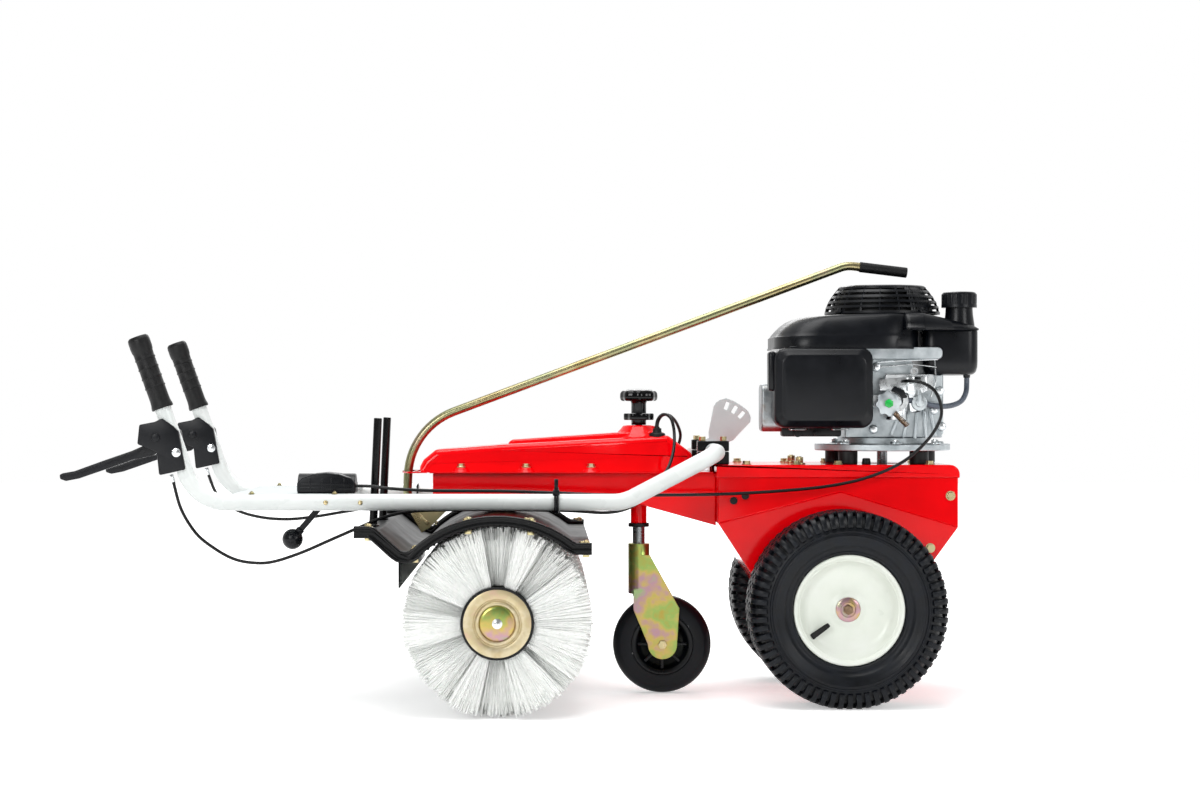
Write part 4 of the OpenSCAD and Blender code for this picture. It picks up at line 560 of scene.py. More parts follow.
class SWEEPER_OT_stage(bpy.types.Operator):
    """Camera, light, floor and backdrop"""

    bl_idname = "sweeper.stage"
    bl_label = "Studio"

    def execute(self, context):
        scene = context.scene
        scene.view_settings.view_transform = "Standard"
        eye = bpy.data.cameras.new("Camera")
        eye.lens = scene.sweeper_sizes.lens
        eye.sensor_width = 36
        eye.shift_x, eye.shift_y = EYE_SHIFT
        camera = bpy.data.objects.new("Camera", eye)
        camera.location = EYE
        camera.rotation_euler = (math.pi / 2, 0, 0)
        scene.collection.objects.link(camera)
        scene.camera = camera
        for name, place, aim, size, power in (
                ("Top light", (-0.3, -0.6, 4.2), (0, 0, 0.3), 2.6, 112),
                ("Front light", (-2.4, -4.6, 2.4), (-0.1, 0, 0.3), 1.8, 98),
                ("Side light", (3.4, -3.4, 1.9), (0.3, 0, 0.4), 1.4, 46),
                ("Back light", (0.4, 3.6, 2.8), (0, 0, 0.4), 2.0, 42)):
            lamp = bpy.data.lights.new(name, "AREA")
            lamp.size = size
            lamp.energy = power
            holder = bpy.data.objects.new(name, lamp)
            holder.location = place
            holder.rotation_euler = (Vector(aim) - Vector(place)).to_track_quat("-Z", "Y").to_euler()
            scene.collection.objects.link(holder)
        self.light_world(scene)
        bm = bmesh.new()
        bmesh.ops.create_grid(bm, x_segments=1, y_segments=1, size=14)
        mesh = as_mesh(bm, "Floor")
        mesh.materials.append(self.floor_finish(scene.sweeper_colours.floor))
        floor = bpy.data.objects.new("Floor", mesh)
        floor.location.z = -0.0005
        scene.collection.objects.link(floor)
        return {"FINISHED"}

    @staticmethod
    def seen(tree, *rays):
        """One for the named kinds of ray, and zero for the others"""
        path = add(tree, "LightPath")
        level = path.outputs[rays[0]]
        for ray in rays[1:]:
            either = add(tree, "Math", {"operation": "MAXIMUM"})
            tree.links.new(level, either.inputs[0])
            tree.links.new(path.outputs[ray], either.inputs[1])
            level = either.outputs[0]
        return level

    def light_world(self, scene):
        """White where the camera or glass looks, else a room that is white behind and dim in front"""
        world = bpy.data.worlds.new("Studio")
        world.use_nodes = True
        scene.world = world
        tree = world.node_tree
        split = add(tree, "SeparateXYZ", Vector=add(tree, "TexCoord").outputs["Generated"])
        room = add(tree, "MapRange", Value=split.outputs["Y"], From_Min=-0.5, From_Max=0.5, To_Min=0.22,
                   To_Max=1.0)
        clear = self.seen(tree, "Is Camera Ray", "Is Transmission Ray")
        level = add(tree, "MapRange", Value=clear, To_Max=1.0)
        tree.links.new(room.outputs["Result"], level.inputs["To Min"])
        back = tree.nodes["Background"]
        back.inputs["Color"].default_value = (1, 1, 1, 1)
        tree.links.new(level.outputs["Result"], back.inputs["Strength"])

    def floor_finish(self, colour):
        """Plain floor that keeps the shadow near the object and runs out to white"""
        made = bpy.data.materials.new("studio_floor")
        made.use_nodes = True
        tree = made.node_tree
        shader = tree.nodes["Principled BSDF"]
        shader.inputs["Base Color"].default_value = linear(colour)
        shader.inputs["Roughness"].default_value = 0.9
        shader.inputs["Specular IOR Level"].default_value = 0.0
        shader.inputs["Emission Color"].default_value = (1, 1, 1, 1)
        spread = add(tree, "VectorMath", {"operation": "LENGTH"},
                     Vector=add(tree, "TexCoord").outputs["Object"])
        far = add(tree, "MapRange", Value=spread.outputs["Value"], From_Min=1.0, From_Max=3.4, To_Min=0.42,
                  To_Max=1.0)
        seen = self.seen(tree, "Is Camera Ray", "Is Glossy Ray", "Is Transmission Ray")
        glow = add(tree, "MapRange", Value=seen, To_Min=0.0)
        tree.links.new(far.outputs["Result"], glow.inputs["To Max"])
        tree.links.new(glow.outputs["Result"], shader.inputs["Emission Strength"])
        return made


class SWEEPER_OT_cables(bpy.types.Operator):
    """The two clutch cables, the throttle cable and the fuel hose"""

    bl_idname = "sweeper.cables"
    bl_label = "Cables"

    def execute(self, context):
        leads = {"clutch_cable_left": self.lead(-1), "clutch_cable_right": self.lead(1)}
        for name, route in ROUTES.items():
            line = smooth_line(leads.get(name, []) + route)
            sheath = tube(line, SHEATH_R, sides=3)
            cable = show(name + "_dressed", sheath, "cable_sheath", None, slot_of(name), name)
            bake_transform(cable)
        ferrules = [rod(*lead, 5, 4, 12, edge=0.8) for lead in leads.values()]
        show("cable_ferrules", joined(ferrules), "bright_zinc", "handle", "bare_steel")
        hose = smooth_line([(921, -60, 674), (921, -60, 656), (917, -72, 636), (903, -91, 618),
                            (877, -106, 609), (846, -114, 609), (822, -117.5, 615), (806, -117.5, 620),
                            (787.3, -117.5, 620)])
        dressed("fuel_hose", tube(hose, 5.6, sides=4), "grey_hose")
        return {"FINISHED"}

    @staticmethod
    def lead(side):
        """The straight start of a clutch cable, out of the foot of its lever bracket"""
        return [on_grip(side) @ (Vector((-30, 0, z)) * MM) / MM for z in (70, 54)]


class SWEEPER_OT_wheels(bpy.types.Operator):
    """Tyres with their tread, and rims with their valves"""

    bl_idname = "sweeper.wheels"
    bl_label = "Drive wheels"

    def execute(self, context):
        lugs = context.scene.sweeper_sizes.lugs
        for side, name in ((-1, "left"), (1, "right")):
            frame_of = on_axle(AXLE, side)
            tyre = placed(self.tyre(lugs), frame_of)
            for v in tyre.verts:
                v.co.z = max(v.co.z, 0.0)
            body = f"{name}_wheel"
            dressed(f"{name}_tyre", tyre, "tyre_rubber")
            dressed(f"{name}_rim", placed(self.rim(), frame_of), "cream_enamel", smooth=50)
            show(f"{name}_valve", placed(self.valve(side), frame_of), "soft_rubber", body, "tyre_rubber")
            axle, bolt = self.axle()
            slot = slot_of(f"{name}_axle")
            dressed(f"{name}_axle", placed(axle, frame_of), "rainbow_zinc")
            show(f"{name}_axle_bolt", placed(bolt, frame_of), "spring_wire", body, slot)
        return {"FINISHED"}

    @staticmethod
    def tyre(lugs):
        """A ringed carcass under two rows of shoulder lugs and four rows of leaning blocks"""
        walls = [(100, 56), (112.5, 57.6), (114, 62), (116, 65), (118, 65.8), (120, 65), (124, 66),
                 (130, 70), (131.4, 72), (134, 73), (140, 76), (147, 77.4), (148.6, 79), (151, 79.4),
                 (153, 78), (156, 78), (157.4, 80), (160.6, 80), (162, 77.4), (166, 76), (176, 70),
                 (184, 61), (189, 50), (191.5, 36), (192, 0)]
        parts = [lathe(both_ways(walls), 128)]
        shoulder = slab([(193, 46), (199.6, 50), (199.2, 60), (196, 69), (189, 75.5), (178, 79.6),
                         (168, 80), (167, 76), (178, 68), (186, 58)], -5.4, 5.4, 1.3)
        block = brick((190, -7.2, -9), (199.8, 7.2, 9), 1.4)
        step = math.tau / lugs
        for other in (0, 1):
            row = spun(step * 0.5 * other)
            flip = spun(math.pi * other, "X")
            parts.append(repeated(shoulder.copy(), [row @ r @ flip for r in evenly(lugs)]))
        for height, offset, lean in ((-37, 0.25, -18), (-12.5, 0.75, 18), (12.5, 0.25, -18), (37, 0.75, 18)):
            row = spun(offset * step)
            lug = at(z=height) @ spun(math.radians(lean), "X")
            parts.append(repeated(block.copy(), [row @ r @ lug for r in evenly(lugs)]))
        shoulder.free()
        block.free()
        return joined(parts)

    @staticmethod
    def rim():
        """A pressed disc in a spun rim, with a rolled flange"""
        return lathe([(12.6, -40), (12.6, 37), (26, 37), (30, 36), (34, 32.4), (40, 31), (52, 30.6),
                      (68, 31.6), (73, 33.4), (78, 34), (85, 36), (92, 41), (97, 49), (101, 56.5),
                      (105, 60.6), (108.5, 62), (111, 61.4), (112, 59.6), (112, 57.7), (99.8, 56.4),
                      (99.8, -57), (112, -58), (112, -61.4), (110, -62), (97, -60), (92, -50), (92, 28),
                      (70, 27), (30, 27), (24, 26), (24, -40), (12.6, -40)], 96)

    @staticmethod
    def valve(side):
        """A rubber valve stem with its cap"""
        way = Vector((-0.8, 0.6 * side, 0))
        stations = ((92, 40), (56, 45), (49, 46))
        foot, neck, tip = [way * reach + Vector((0, 0, out)) for reach, out in stations]
        return joined([rod(foot, neck, 6.2, 5.4, edge=1.0), rod(neck, tip, 5.4, 4.2, edge=1.2)])

    @staticmethod
    def axle():
        """The axle with its dished washer, and the bolt in its end"""
        washer = lathe([(0, 36.9), (25, 36.9), (25, 38.6), (24, 39.6), (19, 40.6), (15.4, 40.8),
                        (14.4, 39.8), (0, 39.8)])
        bar = rod((0, 0, -238), (0, 0, 37.5), 12.4, sides=48, edge=1)
        head = rod((0, 0, 39.6), (0, 0, 45.4), 10.8, sides=6, edge=0.8)
        return joined([bar, washer]), joined([head, rod((0, 0, 45), (0, 0, 46.4), 8.4, 7)])


class SWEEPER_OT_chassis(bpy.types.Operator):
    """Painted steel of the chassis, deck, arm and cover"""

    bl_idname = "sweeper.chassis"
    bl_label = "Chassis"

    def execute(self, context):
        edge = context.scene.sweeper_sizes.edge / MM
        for node, width in (("chassis_housing", 2.2), ("deck_plate", 2.6), ("front_arm", 2.2),
                            ("caster_socket", edge)):
            rounded(node, "red_enamel", width, 3)
        self.cover()
        rounded("handle_clamps", "black_powder_coat", 2)
        rounded("chassis_bolts", "yellow_zinc", 0.5)
        rounded("rubber_seals", "soft_rubber", 1.0)
        rounded("transaxle", "cast_aluminium", edge)
        rounded("drive_belt", "soft_rubber", 0.8)
        spots = ((424, 413), (448, 423))
        plugs = [rod((x, HOUSING_Y, z), (x, HOUSING_Y - 4, z), 8, edge=1.5) for x, z in spots]
        show("deck_plugs", joined(plugs), "soft_rubber", "chassis", "black_rubber")
        boot = lathe([(0, 544), (17, 544), (17, 550), (15.5, 551.6), (10.5, 553), (7.4, 558), (5.6, 563),
                      (4.6, 565.4), (0, 565.4)], 32)
        boots = repeated(boot, [at(*place) for place in BOOTS])
        show("cable_boots", boots, "soft_rubber", "chassis", "black_rubber")
        cap = rod((704, -104, DECK_TOP), (704, -104, DECK_TOP + 13), 10, 8, edge=2)
        show("deck_cap", cap, "soft_rubber", "chassis", "black_rubber")
        nuts = [hex_head((566, y, DECK_TOP), (0, 0, 1), 9, 12, 13, 3) for y in (-86, 86)]
        show("belt_guide_nuts", joined(nuts), "yellow_zinc", "chassis", "yellow_zinc")
        return {"FINISHED"}

    @staticmethod
    def crowned(bm, above, radius, segments):
        """Rounds the edges of a slab's two ends above a height, by a radius, in mm"""
        ends = [e for e in bm.edges if len({round(v.co.y, 4) for v in e.verts}) == 1
                and min(v.co.z for v in e.verts) > above * MM]
        bmesh.ops.bevel(bm, geom=ends, offset=radius * MM, affect="EDGES", segments=segments, profile=0.5,
                        clamp_overlap=False, material=-1)
        return bm

    def cover(self):
        """Deep-drawn cover: the flange of the solid, a domed top, a raised spine and round bosses"""
        flange_top = 471.6
        flange = solid_copy("arm_cover")
        above = [f for f in flange.faces if max(v.co.z for v in f.verts) > flange_top * MM]
        bmesh.ops.delete(flange, geom=above, context="FACES")
        side = [(-236, 469), (-222, 496), (-196, 517), (-59, 528), (292, 547), (343, 509), (343, 469)]
        top = self.crowned(slab(round_corners(side, 9, 3), -72, 72), 472, 13, 6)
        ridge = [(-66, 522), (-34, 538), (246, 557), (284, 553), (296, 538)]
        spine = self.crowned(slab(round_corners(ridge, 6, 3), -44, 44), 530, 7, 4)
        boss = lathe([(0, 530), (64, 530), (57, 543), (47, 552), (39, 560), (35, 565), (32.5, 567.4),
                      (29, 568), (8.2, 568), (8.2, 540), (0, 540)])
        bell = lathe([(0, 470), (20, 470), (17.5, 472), (15, 476), (13.4, 478.6), (11, 480), (0, 480)], 32)
        pads = repeated(bell, [at(x, y) for x in (-142.6, -6.4, 129.9) for y in (-80, 80)])
        dressed("arm_cover", joined([flange, top, spine, placed(boss, at(STEM.x)), pads]), "red_enamel",
                smooth=50)


class SWEEPER_OT_caster(bpy.types.Operator):
    """Caster wheel, fork and height knob"""

    bl_idname = "sweeper.caster"
    bl_label = "Caster"

    def execute(self, context):
        rounded("caster_stem", "turned_steel", 0.8)
        rounded("caster_fork", "rainbow_zinc", 1.0)
        rounded("caster_axle", "yellow_zinc", 0.8)
        at_stem = at(STEM.x)
        head = stack(self.star(40, 1.6, 8), [(619, 0.84), (620, 0.92), (623, 0.985), (628, 1),
                                          (635, 0.99), (639, 0.94), (641.6, 0.84), (643.4, 0.66),
                                          (644.6, 0.42), (645, 0.16)])
        neck = lathe([(0, 593.4), (16, 593.4), (16, 614), (17.4, 618), (20, 620.4), (0, 620.4)], 40)
        screw = rod((0, 0, 352), (0, 0, 600), 7)
        dressed("height_knob", placed(joined([head, neck, screw]), at_stem), "gloss_phenolic")
        nut = stack(self.star(32, 2.4), [(579, 0.95), (580, 0.99), (581, 1), (591, 1), (592, 0.99),
                                         (593, 0.95)])
        collar = lathe([(8.4, 568.6), (15, 568.6), (16, 570), (16, 580), (8.4, 580), (8.4, 568.6)], 40)
        dressed("lock_nut", placed(joined([nut, collar]), at_stem), "gloss_phenolic")
        hub = on_axle(CASTER, -1)
        tyre = lathe(both_ways([(66.1, 25), (88, 25), (90, 24.4), (97, 21), (101.6, 16), (103.6, 9),
                                (104, 0)]), 96)
        dressed("caster_tyre", placed(tyre, hub), "tyre_rubber")
        rim = lathe(both_ways([(6.1, 25), (18, 25), (20, 23), (20, 12), (24, 9), (44, 10), (50, 13),
                               (53, 19), (57, 22), (64, 23), (65.9, 22)]), 72)
        ribs = repeated(brick((20, -3, -17), (52, 3, 17), 1.0), evenly(8))
        dressed("caster_rim", placed(joined([rim, ribs]), hub), "satin_abs")
        return {"FINISHED"}

    @staticmethod
    def star(radius, depth, lobes=6, steps=96):
        """The outline of a hand knob with round lobes, in mm"""
        turns = [math.tau * k / steps for k in range(steps)]
        reach = [radius - depth + depth * math.cos(lobes * a) for a in turns]
        return [(r * math.cos(a), r * math.sin(a)) for r, a in zip(reach, turns)]


class SWEEPER_OT_engine(bpy.types.Operator):
    """Engine on its rubber mounts"""

    bl_idname = "sweeper.engine"
    bl_label = "Engine"

    def execute(self, context):
        rounded("engine_mounts", "soft_rubber", 2.0)
        rounded("crankcase", "cast_aluminium", 2.2, 3)
        rounded("carburettor", "bright_zinc", 1.0)
        rounded("muffler", "muffler_sheet", 5, 3)
        rounded("crankshaft", "turned_steel", 0.8)
        rounded("flywheel", "cast_aluminium", 1.0)
        self.shroud()
        self.grille()
        self.tank()
        self.cleaner()
        self.casting()
        self.linkage()
        return {"FINISHED"}

    @staticmethod
    def shroud():
        """Blower shroud: an upright band under a domed top"""
        dome = stack(box_outline((514, -150), (817, 150), 84, 10),
                     [(730, 0.985), (731.5, 1), (753, 1), (756, 0.99), (764, 0.975),
                      (775, 0.95), (786, 0.92), (795, 0.885), (800, 0.855), (802.4, 0.82),
                      (803, 0.78)], (817, 0))
        for v in dome.verts:
            rise = max(0.0, v.co.z - 0.753)
            v.co.z -= rise * 0.24 * min(1.0, max(0.0, (0.70 - v.co.x) / 0.18))
        lip = stack(box_outline((512.5, -151), (818, 151), 85, 10), [(727.5, 1), (731.5, 1)])
        lid = stack(round_corners([(780, -146), (822, -146), (884, -126), (941, -98), (941, 98), (884, 126),
                                   (822, 146), (780, 146)], 12, 4),
                    [(766.6, 0.99), (767.6, 1), (771, 1), (772, 0.985), (782, 0.97, 0.96),
                     (793, 0.95, 0.92), (800, 0.92, 0.88), (803, 0.88, 0.82)], (780, 0))
        for v in lid.verts:
            fall = min(1.0, max(0.0, (v.co.x - 0.82) / 0.11))
            v.co.z -= max(0.0, v.co.z - 0.772) * 0.8 * fall
        dressed("engine_shroud", joined([dome, lip, lid]), "satin_abs", smooth=48)

    @staticmethod
    def grille():
        """Starter grille: hoops and ribs round a dark screen, with one closed patch"""
        def reach(z):
            return 122 - 34 * ((z - 803) / 60) ** 1.7
        hoops = [lathe([(reach(z) - 5, z), (reach(z), z), (reach(z + 5) + 0.4, z + 5),
                        (reach(z + 5) - 5, z + 5), (reach(z) - 5, z)], 72)
                 for z in (803, 815, 826, 837, 848)]
        top = lathe([(0, 858), (8, 858), (8, 862.6), (20, 863), (20, 859), (28, 859), (28, 863), (36, 863),
                     (36, 859), (44, 859), (44, 863), (52, 863), (52, 859), (60, 859), (60, 863), (68, 863),
                     (68, 859), (76, 859), (76, 863), (88, 863), (92, 860.5), (92, 856), (0, 855)], 72)
        screen = lathe([(108, 804), (104, 822), (96, 840), (80, 856), (0, 856)], 48)
        heights = [804 + 6 * k for k in range(9)]
        bar = joined([rod((reach(z) - 2.4, 0, z), (reach(z + 6) - 2.4, 0, z + 6), 2.6, sides=4)
                      for z in heights])
        patch = [spun(math.radians(d)) for d in range(-66, -42, 3)]
        ribs = repeated(bar, evenly(18) + patch)
        lug = joined([brick((112, -9, 803), (128, 9, 810), 2), rod((121, 0, 808), (121, 0, 815), 5, edge=1)])
        feet = repeated(lug, [spun(math.radians(d)) for d in (215, 305, 35, 125)])
        frame_of = at(CRANK.x)
        dressed("starter_grille", placed(joined([*hoops, top, ribs, feet]), frame_of), "satin_abs")
        show("starter_screen", placed(screen, frame_of), "soft_rubber", "chassis", "black_plastic")

    @staticmethod
    def tank():
        """Fuel tank with its neck and ribbed cap"""
        body = stack(box_outline((825, -105), (940, 105), 24),
                     [(674, 0.8, 0.86), (676, 0.88, 0.92), (681, 0.95, 0.97), (690, 0.99, 0.995), (702, 1),
                      (764, 1), (767, 0.99), (768, 0.97)], (882, 0))
        at_neck = at(NECK.x, NECK.y)
        neck = placed(lathe([(0, 760), (34, 760), (32, 780), (29, 800), (28, 815), (28, 842), (0, 842)]),
                      at_neck)
        union = rod((921, -60, 690), (921, -60, 668), 9, 7, edge=1)
        dressed("fuel_tank", joined([body, neck, union]), "satin_abs", smooth=48)
        cap = lathe([(0, 848.5), (30, 848.5), (34, 847), (36, 843.5), (36, 824), (37, 822), (37, 815.5),
                     (28.4, 815.5), (28.4, 842.8), (0, 842.8)], 72)
        ribs = repeated(brick((33, -2.4, 823), (37, 2.4, 844), 1.2), evenly(20))
        dressed("fuel_cap", placed(joined([cap, ribs]), at_neck), "satin_abs")

    @staticmethod
    def cleaner():
        """Air cleaner: a box with a bevelled front, its catches and wire clips"""
        front = spun(math.pi / 2, "X")
        box = stack(box_outline((507, 563), (712, 729), 25, 8), [(108, 1), (152, 1), (157, 0.99, 0.988),
                    (160.5, 0.97, 0.965), (162.5, 0.945, 0.935), (168, 0.865, 0.835), (169.4, 0.85, 0.818),
                    (170, 0.83, 0.79)], (609.5, 646))
        catches = [brick((x, -140, 726), (x + 26, -112, 733), 2) for x in (540, 630)]
        back = brick((496, -150, 640), (512, -110, 722), 6, 3)
        dressed("air_cleaner", joined([placed(box, front), *catches, back]), "satin_abs", smooth=48)
        clips = [tube(bent_line([(x, -112, 566), (x, -150, 560), (x + 34, -150, 560), (x + 34, -112, 566)],
                                [5, 5], 4), 1.4) for x in (540, 628)]
        show("cleaner_clips", joined(clips), "bright_zinc", "chassis", "bare_steel")
        under = [brick((528, -104, 545), (652, -62, 565), 4),
                 rod((560, -104, 552), (560, -118, 552), 8, edge=1),
                 rod((600, -104, 552), (600, -116, 552), 6, edge=1)]
        show("intake_elbow", joined(under), "soft_rubber", "chassis", "black_rubber")

    @staticmethod
    def casting():
        """Ribs, bosses and bolts of the crankcase casting"""
        face = CASTING_Y
        bosses = ((720, 560), (862, 566), (858, 640), (726, 690), (846, 600))
        gear_x, gear_y, gear_z = 745, -146, 614
        foot_z = 529
        near_feet = (-2.3, -1.5, -0.75)
        band = stack(box_outline((700, 706), (862, 732), 10), [(94, 1), (112, 1), (116, 0.985, 0.9)],
                     (781, 719))
        parts = [placed(band, spun(math.pi / 2, "X"))]
        for x, z, lean in ((756, 560, 23), (782, 556, 13.8), (806, 554, 4.6), (830, 556, -4.6),
                           (850, 560, -13.8)):
            rib = [(x - 3, z - 14), (x + 3, z - 14), (x + 3 + lean, z + 46), (x - 3 + lean, z + 46)]
            parts.append(slab(round_corners(rib, 2, 2), face - 6, face + 1, 1))
        for x, z in bosses:
            parts.append(rod((x, face + 1, z), (x, face - 9, z), 10, 8.5, edge=1.5))
        turns = [(27 if k % 4 < 2 else 23, math.tau * k / 32) for k in range(32)]
        notches = [(gear_x + r * math.cos(a), gear_z + r * math.sin(a)) for r, a in turns]
        parts += [slab(notches, gear_y, gear_y + 5.5, 0.8),
                  rod((gear_x, face, gear_z), (gear_x, gear_y + 5, gear_z), 10),
                  brick((846, -88, 548), (868, 88, 730), 5, 3)]
        for a in near_feet:
            x, y = CRANK.x + 143 * math.cos(a), 133 * math.sin(a)
            parts.append(rod((x, y, foot_z), (x, y, foot_z + 6), 13, 11, edge=1.5))
        show("crankcase_ribs", joined(parts), "cast_aluminium", "chassis", "cast_aluminium")
        heads = [rod((x, face - 9, z), (x, face - 14, z), 7, sides=6, edge=0.8) for x, z in bosses]
        heads += [hex_head((CRANK.x + 134 * math.cos(a), 134 * math.sin(a), foot_z), (0, 0, 1), 8, 7, 11, 2)
                  for a in (*near_feet, 0.9, 2.3)]
        show("crankcase_bolts", joined(heads), "bright_zinc", "chassis", "bare_steel")
        green = rod((gear_x, gear_y, gear_z), (gear_x, gear_y - 8, gear_z), 9.5, sides=6, edge=1)
        show("drain_bolt", green, "green_lacquer", "chassis", "bare_steel")

    @staticmethod
    def linkage():
        """Control plate, governor links, spring, choke lever and fuel valve"""
        plate = [slab(round_corners([(729, 664), (828, 672), (830, 640), (812, 634), (808, 598), (794, 596),
                                     (790, 636), (731, 640)], 4, 3), -116, -114, 0.6),
                 brick((786, -132, 640), (800, -112, 670), 1),
                 rod((792, -132, 655), (792, -140, 655), 6, sides=6, edge=1),
                 tube(bent_line([(728, -104, 700), (770, -112, 703), (852, -110, 706)], [20], 4), 1.5),
                 tube(bent_line([(730, -106, 690), (800, -112, 696), (850, -108, 690)], [20], 4), 1.3),
                 tube(bent_line([(846, -106, 712), (848, -112, 660), (838, -110, 628)], [20], 4), 1.6),
                 placed(lathe([(4.6, -3), (8, -3), (8, 3), (4.6, 3), (4.6, -3)], 32),
                        along((802, -116, 681), (802, -130, 681)))]
        show("control_linkage", joined(plate), "bright_zinc", "chassis", "bare_steel")
        arm = [(748, 640), (756, 650), (776, 642), (784, 626), (772, 624), (764, 634)]
        choke = slab(round_corners(arm, 2, 2), -151, -147, 1)
        body = [choke, rod((790, -96, 668), (812, -130, 666), 3, sides=12, edge=0.5),
                brick((796, -112, 596), (816, -98, 640), 3)]
        show("choke_lever", joined(body), "satin_abs", "chassis", "black_plastic")
        valve = [rod((812, -98, 615), (812, -128, 615), 17, 16, 40, edge=1.5),
                 brick((808, -134, 612), (815, -127, 642), 1.5),
                 rod((812, -128, 615), (812, -133, 615), 9, 8, 24, edge=1)]
        show("fuel_valve", joined(valve), "cast_aluminium", "chassis", "cast_aluminium")
        start, way = Vector((757, -150, 594)), Vector((26, 0, -26))
        coils, steps, radius = 11, 10, 5
        coil = []
        for k in range(coils * steps + 1):
            a = math.tau * k / steps
            across = Vector((0.7 * math.cos(a), math.sin(a), 0.7 * math.cos(a))) * radius
            coil.append(start + way * (k / (coils * steps)) + across)
        show("governor_spring", tube(coil, 1.2, sides=1), "spring_wire", "chassis", "bare_steel")


class SWEEPER_OT_handle(bpy.types.Operator):
    """Handlebar with its grips, levers and throttle control"""

    bl_idname = "sweeper.handle"
    bl_label = "Handlebar"

    def execute(self, context):
        rise = Vector((-math.sin(GRIP_LEAN), 0, math.cos(GRIP_LEAN))) * GRIP_RUN
        for side, name in ((-1, "left"), (1, "right")):
            y = side * PIVOT.y
            foot = Vector((GRIP_FOOT.x, y, GRIP_FOOT.z))
            line = bent_line([(HINGE.x, side * 130, HINGE.z), (HINGE.x, y, HINGE.z), (193, y, HANDLE_Z),
                              foot, foot + rise], [45, 90, 85])
            dressed(f"{name}_handle_tube", tube(line, HANDLE_R, sides=10), "white_powder_coat")
            blade = round_corners([(PIVOT.x + dx, PIVOT.z + dz) for dx, dz in LEVER], 4, 4)
            dressed(f"{name}_lever", slab(blade, y - LEVER_HALF, y + LEVER_HALF, 2.2, 3), "satin_abs")
        rounded("cross_tube", "pale_grey_paint", 1.2)
        rounded("cross_panel", "pale_grey_paint", 1.6)
        rounded("control_box", "satin_abs", 1.6)
        rounded("throttle_lever", "satin_abs", 1.4)
        self.grips()
        self.fittings()
        return {"FINISHED"}

    @staticmethod
    def grips():
        """Rubber grips with a flared foot, finger ridges and a round top"""
        profile = [(17.2, 202), (21.5, 202), (22.4, 204), (22, 208), (20.6, 214), (20, 222)]
        for z in (246, 266, 286, 306):
            profile += [(20, z), (21.3, z + 1.5), (21.3, z + 3), (20.2, z + 5)]
        profile += [(20.4, 322), (21.6, 325), (22.4, 332), (22.4, 346), (21.4, 352), (18, 355.4), (12, 356),
                    (0, 356)]
        grip = lathe(profile, 48)
        dressed("handle_grips", repeated(grip, [on_grip(-1), on_grip(1)]), "soft_rubber")

    @staticmethod
    def fittings():
        """Lever brackets, cable ties, tube rivets, screws and the control box's cover"""
        middles = (-PIVOT.y, PIVOT.y)
        walls = [(y + low, y + low + CHEEK_OUT - CHEEK_IN) for y in middles
                 for low in (-CHEEK_OUT, CHEEK_IN)]
        cheeks = [slab(round_corners(CHEEK, 4, 4), low, high, 2, 3) for low, high in walls]
        dressed("lever_brackets", joined(cheeks), "satin_abs")
        ties = []
        near, far = ((-283, 394), (-233, 442)), ((233, 394), (283, 433))
        for x, (low, high) in ((54, near), (59, near), (-250, far)):
            loop = box_outline(low, high, 12)
            ties.append(tube([(x, a, b) for a, b in [*loop, loop[0]]], 2.4, capped=False))
        ties += [brick((49, -289, 428), (63, -280, 440), 2), brick((52, -286, 438), (60, -283, 462), 1)]
        show("cable_ties", joined(ties), "satin_abs", "handle", "black_plastic")
        screws = [hex_head((x, y, HANDLE_Z + HANDLE_R), (0, 0, 1), 5, 3, 7, 1) for x in (-560, -392)
                  for y in middles]
        screws += [rod((x, -279, HANDLE_Z), (x, -283, HANDLE_Z), 5, 4, edge=1) for x in (-409, -339)]
        show("panel_screws", joined(screws), "yellow_zinc", "handle", "yellow_zinc")
        faces = [(y + out * CHEEK_OUT, out) for y in middles for out in (-1, 1)]
        bolts = [hex_head((-709, y, 515), (0, out, 0), 7, 4, 9, 1) for y, out in faces]
        show("bracket_bolts", joined(bolts), "bright_zinc", "handle", "bare_steel")
        pin = 0.12 * CHEEK_OUT
        pins = [rod((PIVOT.x, y, PIVOT.z), (PIVOT.x, y + out * pin, PIVOT.z), 9, 8, edge=1)
                for y, out in faces]
        show("lever_pins", joined(pins), "satin_abs", "handle", "black_plastic")
        hump = [(-471, 431), (-352, 431), (-352, 452), (-362, 463), (-386, 471), (-411, 473.5), (-437, 471),
                (-461, 463), (-471, 452)]
        dome = slab(round_corners(hump, 6, 3), -241, -169, 4, 3)
        ribs = [brick((-464, -243, z), (-359, -240, z + 3), 0.8) for z in (434, 441, 448)]
        ribs += [brick((x, -242.4, 433), (x + 3, -240, 462), 0.8) for x in (-446, -420, -402, -376)]
        show("control_box_cover", joined([dome, *ribs]), "satin_abs", "handle", "black_plastic")


